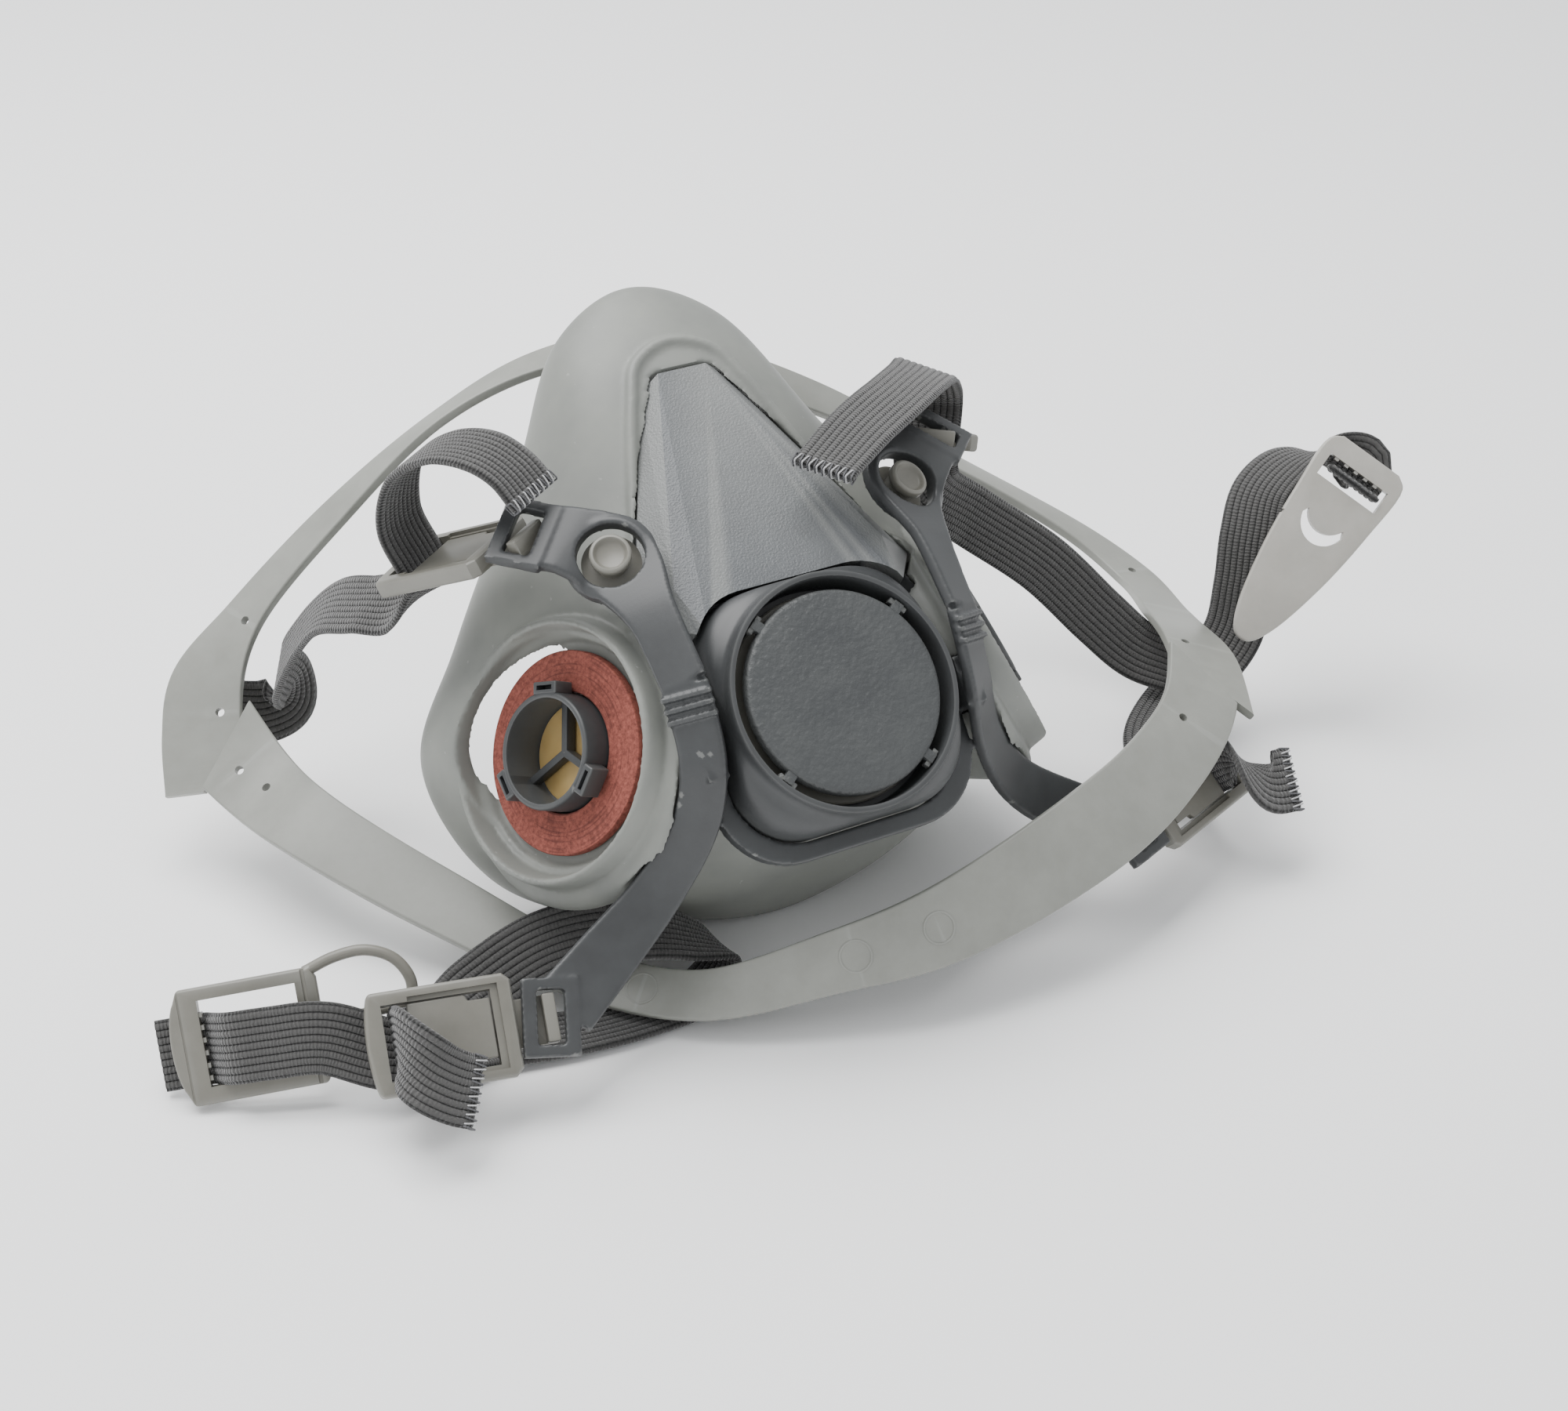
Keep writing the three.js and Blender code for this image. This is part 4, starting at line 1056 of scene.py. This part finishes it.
ROUTES = {
    "upper_left": from_frame(BUCKLES["upper_left"], [
        (-4, -3, 6, 0.4, 0, -1), (-2, -3, 12, 0.7, 0, -0.9), (2, -2.5, 17, 0.6, 0, -0.8),
        (10, -2, 20, 0, 0, -1), (21, -1, 18, -0.5, 0, -0.8), (28, 0, 9, -1, 0, -0.2),
        (SLIT, 0, 0, -1, 0, 0), (SLIT, 0, -5, -1, 0, 0),
    ]) + [
        (-61, 70, 68, 0.7, -0.7, 0.1), (-66, 78, 65, 0.7, -0.5, -0.4),
        (-70, 87, 61, 0.7, -0.4, -0.5), (-74, 97, 50, 0.8, -0.35, -0.45),
        (-76, 105, 38, 0.9, -0.4, -0.3), (-72, 111, 31, 0.5, -0.8, 0),
        (-73, 112, 26.5, 0.2, -0.95, 0.25), (-78, 112.5, 25, 0, -0.9, 0.4),
        (-84, 113.5, 26, -0.1, -0.85, 0.5),
    ],
    "upper_right": [
        (11, 29, 97.5, 0.3, 0.2, -0.9), (24, 36, 101, 0.1, 0.2, -0.9),
        (36, 43, 102, 0.1, 0.2, -0.9), (46.5, 51.5, 100.5, -0.4, -0.2, -0.9),
        (54, 60.5, 96, -0.7, -0.5, -0.6),
    ] + from_frame(BUCKLES["upper_right"], [
        (30, 0, 6, -1, 0, -0.2), (SLIT, 0, 0, -1, 0, 0), (SLIT, 0, -5, -1, 0, 0),
    ]) + [
        (57.5, 63, 67, -0.4, -0.75, 0.4), (68, 63, 57.5, -0.4, -0.75, 0.5),
        (84, 58, 44, -0.4, -0.75, 0.5), (96, 52, 30, -0.4, -0.75, 0.5),
        (103, 47, 22.5, -0.3, -0.75, 0.6), (109, 42, 19.5, -0.2, -0.6, 0.8),
    ],
    "lower_left": from_frame(BUCKLES["lower_left"], [
        (16.5, 12, 6.6, -0.1, 0.1, 1), (20, 10.8, 8, 0, 0.1, 1), (24, 8.2, 8.8, 0.2, 0, 1),
        (27, 4.4, 7.8, 0.7, 0, 0.7), (28.3, 1.2, 4.4, 1, 0, 0.3), (SLIT, 0, 0, 1, 0, 0),
        (SLIT, 0, -5, 1, 0, 0),
    ]) + [
        (-81, 15, 8, -0.4, 0, 1), (-70, 19.5, 10, -0.1, -0.6, 0.8),
        (-56, 19.4, 15.2, -0.1, -0.7, 0.7), (-43, 16.6, 16.2, 0.1, -0.6, 0.8),
        (-30, 12.4, 13, 0.5, -0.3, 0.8), (-21.5, 10, 7.2, 1, 0, 0), (-27, 8, 1.8, 0.4, 0, -0.9),
        (-40, 6.5, 1.5, 0, 0, -1), (-57, 8, 1.7, 0, 0, -1), (-73, 11, 4.2, 0, 0.3, -1),
        (-91, 8.8, 9, 0.1, 0.6, -0.7),
    ] + from_frame(CLIP_LEFT, [
        (14, -2, 5.8, 0, 0, -1), (4, -1.2, 5.2, 0, 0, -1), (-3, -1, 4.2, 0.3, 0, -1),
        (-6.4, -1, 0, 1, 0, -0.2), (-8.4, -1, -3, 0.6, 0, -0.8), (-17.5, -1, -4, 0, 0, -1),
    ]),
    "lower_right": [
        (103.5, -9, 19.6, 0.35, -0.7, 0.6), (98, -7.8, 20, 0.35, -0.7, 0.6),
    ] + from_frame(BUCKLES["lower_right"], [
        (SLIT + 0.6, -1.6, 5, 0.8, 0, 0.6), (SLIT, -0.2, 2.6, 1, 0, 0.1), (SLIT, 0, 0, 1, 0, 0),
        (SLIT, 0, -5, 1, 0, 0),
    ]) + [
        (90, 16, 11, 0.2, -0.3, 0.9), (95, 28, 11, 0, -0.2, 1), (107, 38, 12, -0.1, -0.2, 1),
        (119, 42, 15, -0.5, -0.4, 0.8), (127, 43.5, 22, -0.7, -0.6, 0.3),
        (130, 45, 33, -0.7, -0.6, 0.2), (133, 48, 43.5, -0.6, -0.6, 0.4),
        (138, 51.4, 52, -0.5, -0.3, 0.8), (147, 52.5, 56.5, 0, 0, 1),
        (154, 50, 57.5, 0.5, 0.4, 0.6),
    ] + from_frame(CLIP_RIGHT, [
        (-7, 0, -4.2, -0.2, 0, -1), (-3, 0, -2.6, 0.5, 0, -0.9), (-1.5, 0, 0, 1, 0, -0.2),
        (-1.5, 0, 2.4, 1, 0, 0),
    ]),
}


# %% Ribbed section
RIB_DEPTH = 0.34


def ribbed_section(per_rib=8):
    """Across and out of a band with cords along both faces, and each point's rib height."""
    half = STRAP_WIDTH / 2 - 0.5
    across = np.linspace(half, -half, STRAP_RIBS * per_rib + 1)
    phase = (across / half + 1) / 2 * STRAP_RIBS
    crown = np.abs(np.sin(math.pi * phase)) ** 0.55
    out = STRAP_THICK / 2 - RIB_DEPTH * (1 - crown)
    edge = [(-half - 0.5, 0.35, 0.6), (-half - 0.5, -0.35, 0.6)]
    top = [*zip(across, out, crown)]
    under = [(-x, -z, c) for x, z, c in top]
    other_edge = [(half + 0.5, -0.35, 0.6), (half + 0.5, 0.35, 0.6)]
    return np.array(top + edge + under + other_edge)


RIBBED = ribbed_section()
print("points round the strap's section:", len(RIBBED))


def strap(name, stations):
    """A ribbed band along one route."""
    keys = [(*s, STRAP_WIDTH) for s in stations]
    rows, marks = evenly(through(keys, 40), 0.55)
    wander = np.random.default_rng(len(name)).normal(0, 1, len(rows))
    slow = np.convolve(wander, np.hanning(25) / 12, mode="same")
    rows[:, :3] += rows[:, 3:6] * slow[:, None] * 0.12
    body = swept(f"elastic_{name}", rows, lambda width: RIBBED[:, :2])
    count = len(RIBBED)
    layers = {
        "across": np.tile(RIBBED[:, 0], len(rows)),
        "along": np.repeat(marks, count),
        "rib": np.tile(RIBBED[:, 2], len(rows)),
    }
    for label, values in layers.items():
        layer = body.data.attributes.new(label, "FLOAT", "POINT")
        layer.data.foreach_set("value", values.astype(np.float32))
    return body, rows


# %% Overlocked ends
def thread_loop(place, length, thick):
    """One stitch: a flat loop of thread round the cut end of a band."""
    radius = 0.17
    path = []
    for a in np.linspace(0, 2 * math.pi, 28, endpoint=False):
        x = length / 2 * max(-1, min(1, 1.25 * math.cos(a)))
        z = (thick / 2 + radius) * max(-1, min(1, 1.25 * math.sin(a)))
        path.append((x, z))
    loops = []
    middle = np.array(path)
    ahead = unit(np.roll(middle, -1, axis=0) - np.roll(middle, 1, axis=0))
    for (x, z), (dx, dz) in zip(middle, ahead):
        ring = []
        for b in np.linspace(0, 2 * math.pi, 6, endpoint=False):
            out, over = radius * math.cos(b), radius * math.sin(b)
            ring.append(place @ Vector((x + dz * out, over, z - dx * out)))
        loops.append(ring)
    points = [p for ring in loops for p in ring]
    faces = []
    for i in range(len(loops)):
        for j in range(6):
            k, n = (j + 1) % 6, ((i + 1) % len(loops)) * 6
            faces.append((i * 6 + j, i * 6 + k, n + k, n + j))
    return points, faces


def overlocked_end(name, rows, at_start):
    """Alternating black and white stitches round one cut end."""
    order = rows if at_start else rows[::-1]
    place = arm_frame(order, 1)
    reach = 2.3
    points, faces, pale = [], [], []
    count = 17
    for k in range(count):
        across = (k / (count - 1) - 0.5) * (STRAP_WIDTH - 0.5)
        lean = Matrix.Rotation(math.radians(9 if k % 2 else -9), 4, "Z")
        spot = place @ Matrix.Translation((reach / 2 - 1.0, across, 0)) @ lean
        more, sides = thread_loop(spot, reach, STRAP_THICK)
        faces += [tuple(i + len(points) for i in side) for side in sides]
        pale += [k % 2] * len(sides)
        points += more
    mesh = bpy.data.meshes.new(name)
    mesh.from_pydata([tuple(p) for p in points], [], faces)
    made = bpy.data.objects.new(name, mesh)
    bpy.context.scene.collection.objects.link(made)
    hand_over(made, DARK_THREAD, [])
    made.data.materials.append(PALE_THREAD)
    for polygon, number in zip(made.data.polygons, pale):
        polygon.material_index = int(number)
    return made


for name, stations in ROUTES.items():
    band, band_rows = strap(name, stations)
    hand_over(band, ELASTIC, [f"strap_{name}"], smooth=180)
    overlocked_end(f"stitches_{name}", band_rows, True)


# %% [markdown]
# ## Neck clips
# The left clip is a slotted plate with a round-wire loop; the right one is a tapered
# tongue of natural, milky nylon with a half-moon cut in it. Both hold their strap in a
# window whose inner edge has small teeth.

# %% Left neck clip
def neck_clip_left():
    half, reach = 11.0, 14.0
    bow = [(-12 - 2.6 * math.cos(a), 9.4 * math.sin(a)) for a in np.linspace(-1.2, 1.2, 13)]
    outline = [(-12, -half), (13, -half), (reach, -half + 2)] + [
        (reach, half - 2), (13, half), (-12, half)] + bow[::-1]
    body = bevelled(plate("slotted_clip_left", outline, -1.3, 1.3), 0.55, 3, 50)
    cuts = [brick("window", (-8.5, -7.8, -5), (10, 8.6, 5))]
    cuts.append(brick("groove", (11.3, -12, 1.0), (12.1, 12, 3)))
    cuts.append(brick("crease", (-12.2, -12, 1.15), (-11.8, 12, 3)))
    cut(body, cuts, "EXACT")
    teeth = [brick("tooth", (-8.7, y, -0.9), (-7.9, y + 0.9, 0.9)) for y in np.arange(-6.6, 7.5, 2.4)]
    combine(body, teeth)
    route = [(12, 10.2), (18, 12), (24, 12.2), (29, 9.6), (31.3, 5), (30.4, 1.6), (24, 0.6), (12, 0)]
    wire = through([(x, y, 0, 0, 0, 1, 2.2) for x, y in route], 8)
    combine(body, [swept("wire", wire, rounded_section(2.2, 1.09))])
    return moved(body, CLIP_LEFT)


hand_over(neck_clip_left(), PALE_NYLON, ["neck_clip_left"], smooth=35)


# %% Right neck clip
def neck_clip_right():
    upper_half = [(-9, 7.6), (-7, 10), (6, 9.8), (22, 8), (36, 4.6), (40.4, 2), (41, 0)]
    lower_half = [(x, -y) for x, y in reversed(upper_half[:-1])]
    edge = through([(x, y, 0) for x, y in upper_half + lower_half], 6)
    outline = [(x, y) for x, y, _ in edge]
    body = bevelled(plate("tongue_clip_right", outline, -1.1, 1.1), 0.5, 3, 50)
    moon = [(8.2 + 6.4 * math.cos(a), 5.6 * math.sin(a)) for a in np.linspace(-1.3, 1.3, 17)]
    moon += [(6.6 + 5 * math.cos(a), 5.0 * math.sin(a)) for a in np.linspace(1.2, -1.2, 13)]
    cuts = [
        brick("window", (-4.2, -7.8, -5), (1.2, 7.8, 5)),
        plate("half_moon", moon, -5, 5),
        brick("nick", (12, -12, -5), (12.9, -8.9, 5)),
    ]
    cut(body, cuts, "EXACT")
    teeth = [brick("tooth", (-4.5, y, -0.7), (-3.6, y + 1, 0.7)) for y in np.arange(-6.4, 6, 2.6)]
    combine(body, teeth)
    return moved(body, CLIP_RIGHT)


hand_over(neck_clip_right(), CLEAR_NYLON, ["neck_clip_right"], smooth=35)

# %% [markdown]
# ## Head cradle
# The cradle is two bands of flexible plastic that meet at the temples. Each is swept like
# an arm of the yoke, pierced with small pin holes and trimmed square to the other band at
# both corners. Shallow rings, left by the pins that push the moulding out of its tool, mark
# the wider stretches. Holes and rings are placed by their share of the band's length and
# by their distance from its middle line.

# %% Cradle stations
CRADLE_THICK = 2.0
CRADLE = {
    "lower": [
        (-94, 109, 32, -0.4, -0.5, 0.75, 21), (-88, 91, 22.5, -0.4, -0.5, 0.8, 17),
        (-84, 73, 21.5, -0.35, -0.4, 0.85, 15), (-68, 46, 14, -0.25, -0.4, 0.9, 13.5),
        (-47, 15, 7, -0.25, -0.5, 0.85, 10.5), (-32, -2, 8.5, -0.25, -0.6, 0.75, 10),
        (-10, -13, 15.5, -0.15, -0.8, 0.6, 12), (12, -18, 20, 0, -0.85, 0.55, 15.5),
        (50, -14, 27.5, 0.15, -0.75, 0.65, 18), (72, -5, 30, 0.15, -0.65, 0.75, 17),
        (88, 5, 34, 0.1, -0.5, 0.85, 16), (102, 23, 39.5, 0.1, -0.5, 0.85, 16),
    ],
    "upper": [
        (-97, 98, 18.5, -0.4, -0.5, 0.75, 17), (-94, 106, 27.5, -0.4, -0.55, 0.7, 17),
        (-90, 112, 35.5, -0.45, -0.55, 0.7, 16), (-79, 116, 47, -0.6, -0.3, 0.75, 10),
        (-56, 117, 66, -0.55, 0, 0.8, 9), (-32, 118, 81, -0.4, 0.3, 0.85, 8.5),
        (-8, 120, 87.5, -0.1, 0, 1, 8.5), (14, 119, 87, 0, -0.45, 0.9, 8.5),
        (36, 118, 78.5, 0.2, -0.7, 0.7, 8.5), (57, 112, 68, 0.3, -0.6, 0.7, 8.5),
        (88, 105, 48, 0.5, -0.2, 0.85, 8.5), (112, 85, 32, 0.35, -0.2, 0.9, 9.5),
        (117, 68, 27, 0.2, -0.3, 0.9, 10.5), (112, 49, 28.5, 0.15, -0.4, 0.9, 12.5),
        (103, 25, 33.5, 0.1, -0.45, 0.9, 16), (90, 0, 33.5, 0.1, -0.5, 0.85, 16.5),
    ],
}
CRADLE_SEAMS = [  # middle of each corner's cut, its way out of the lower band, and the face
    axes((-91, 100.5, 26), (-0.6, 0.8, 0.2), (-0.4, -0.5, 0.75)),
    axes((94.5, 13.5, 35), (0.95, 0.3, 0.1), (0.1, -0.5, 0.85)),
]
PIN_HOLES = {
    "lower": [(0.06, -1), (0.09, 0.5), (0.9, 2.5)],
    "upper": [(0.05, -4), (0.11, -1.5), (0.79, 0), (0.92, -3.5)],
}
EJECTOR_RINGS = {"lower": [(0.42, 0), (0.57, 0), (0.63, 0)], "upper": []}


def cradle_band(name):
    rows, _ = evenly(through(CRADLE[name], 24), 1.0)
    body = swept(f"cradle_{name}", rows, rounded_section(CRADLE_THICK, 0.45))
    top = CRADLE_THICK / 2
    for share, across in EJECTOR_RINGS[name]:
        place = arm_frame(rows, int(share * (len(rows) - 1)), across)
        ring = [
            (2.9, top - 0.5), (3.3, top - 0.5), (3.3, top + 0.08), (3.1, top + 0.14),
            (2.9, top + 0.08),
        ]
        combine(body, [turned("ring", ring, place, 64)])
    holes = []
    for share, across in PIN_HOLES[name]:
        place = arm_frame(rows, int(share * (len(rows) - 1)), across)
        holes.append(disc("pin_hole", 0.95, -4, 4, place, 32))
    low, high = (-0.2, 30) if name == "lower" else (-30, 0.2)
    holes += [brick("beyond", (-26, -26, low), (26, 26, high), seam) for seam in CRADLE_SEAMS]
    return cut(body, holes)


for name in CRADLE:
    hand_over(cradle_band(name), CRADLE_PLASTIC, [f"cradle_{name}_band"])

# %% The end of the lesson
bpy.context.view_layer.update()
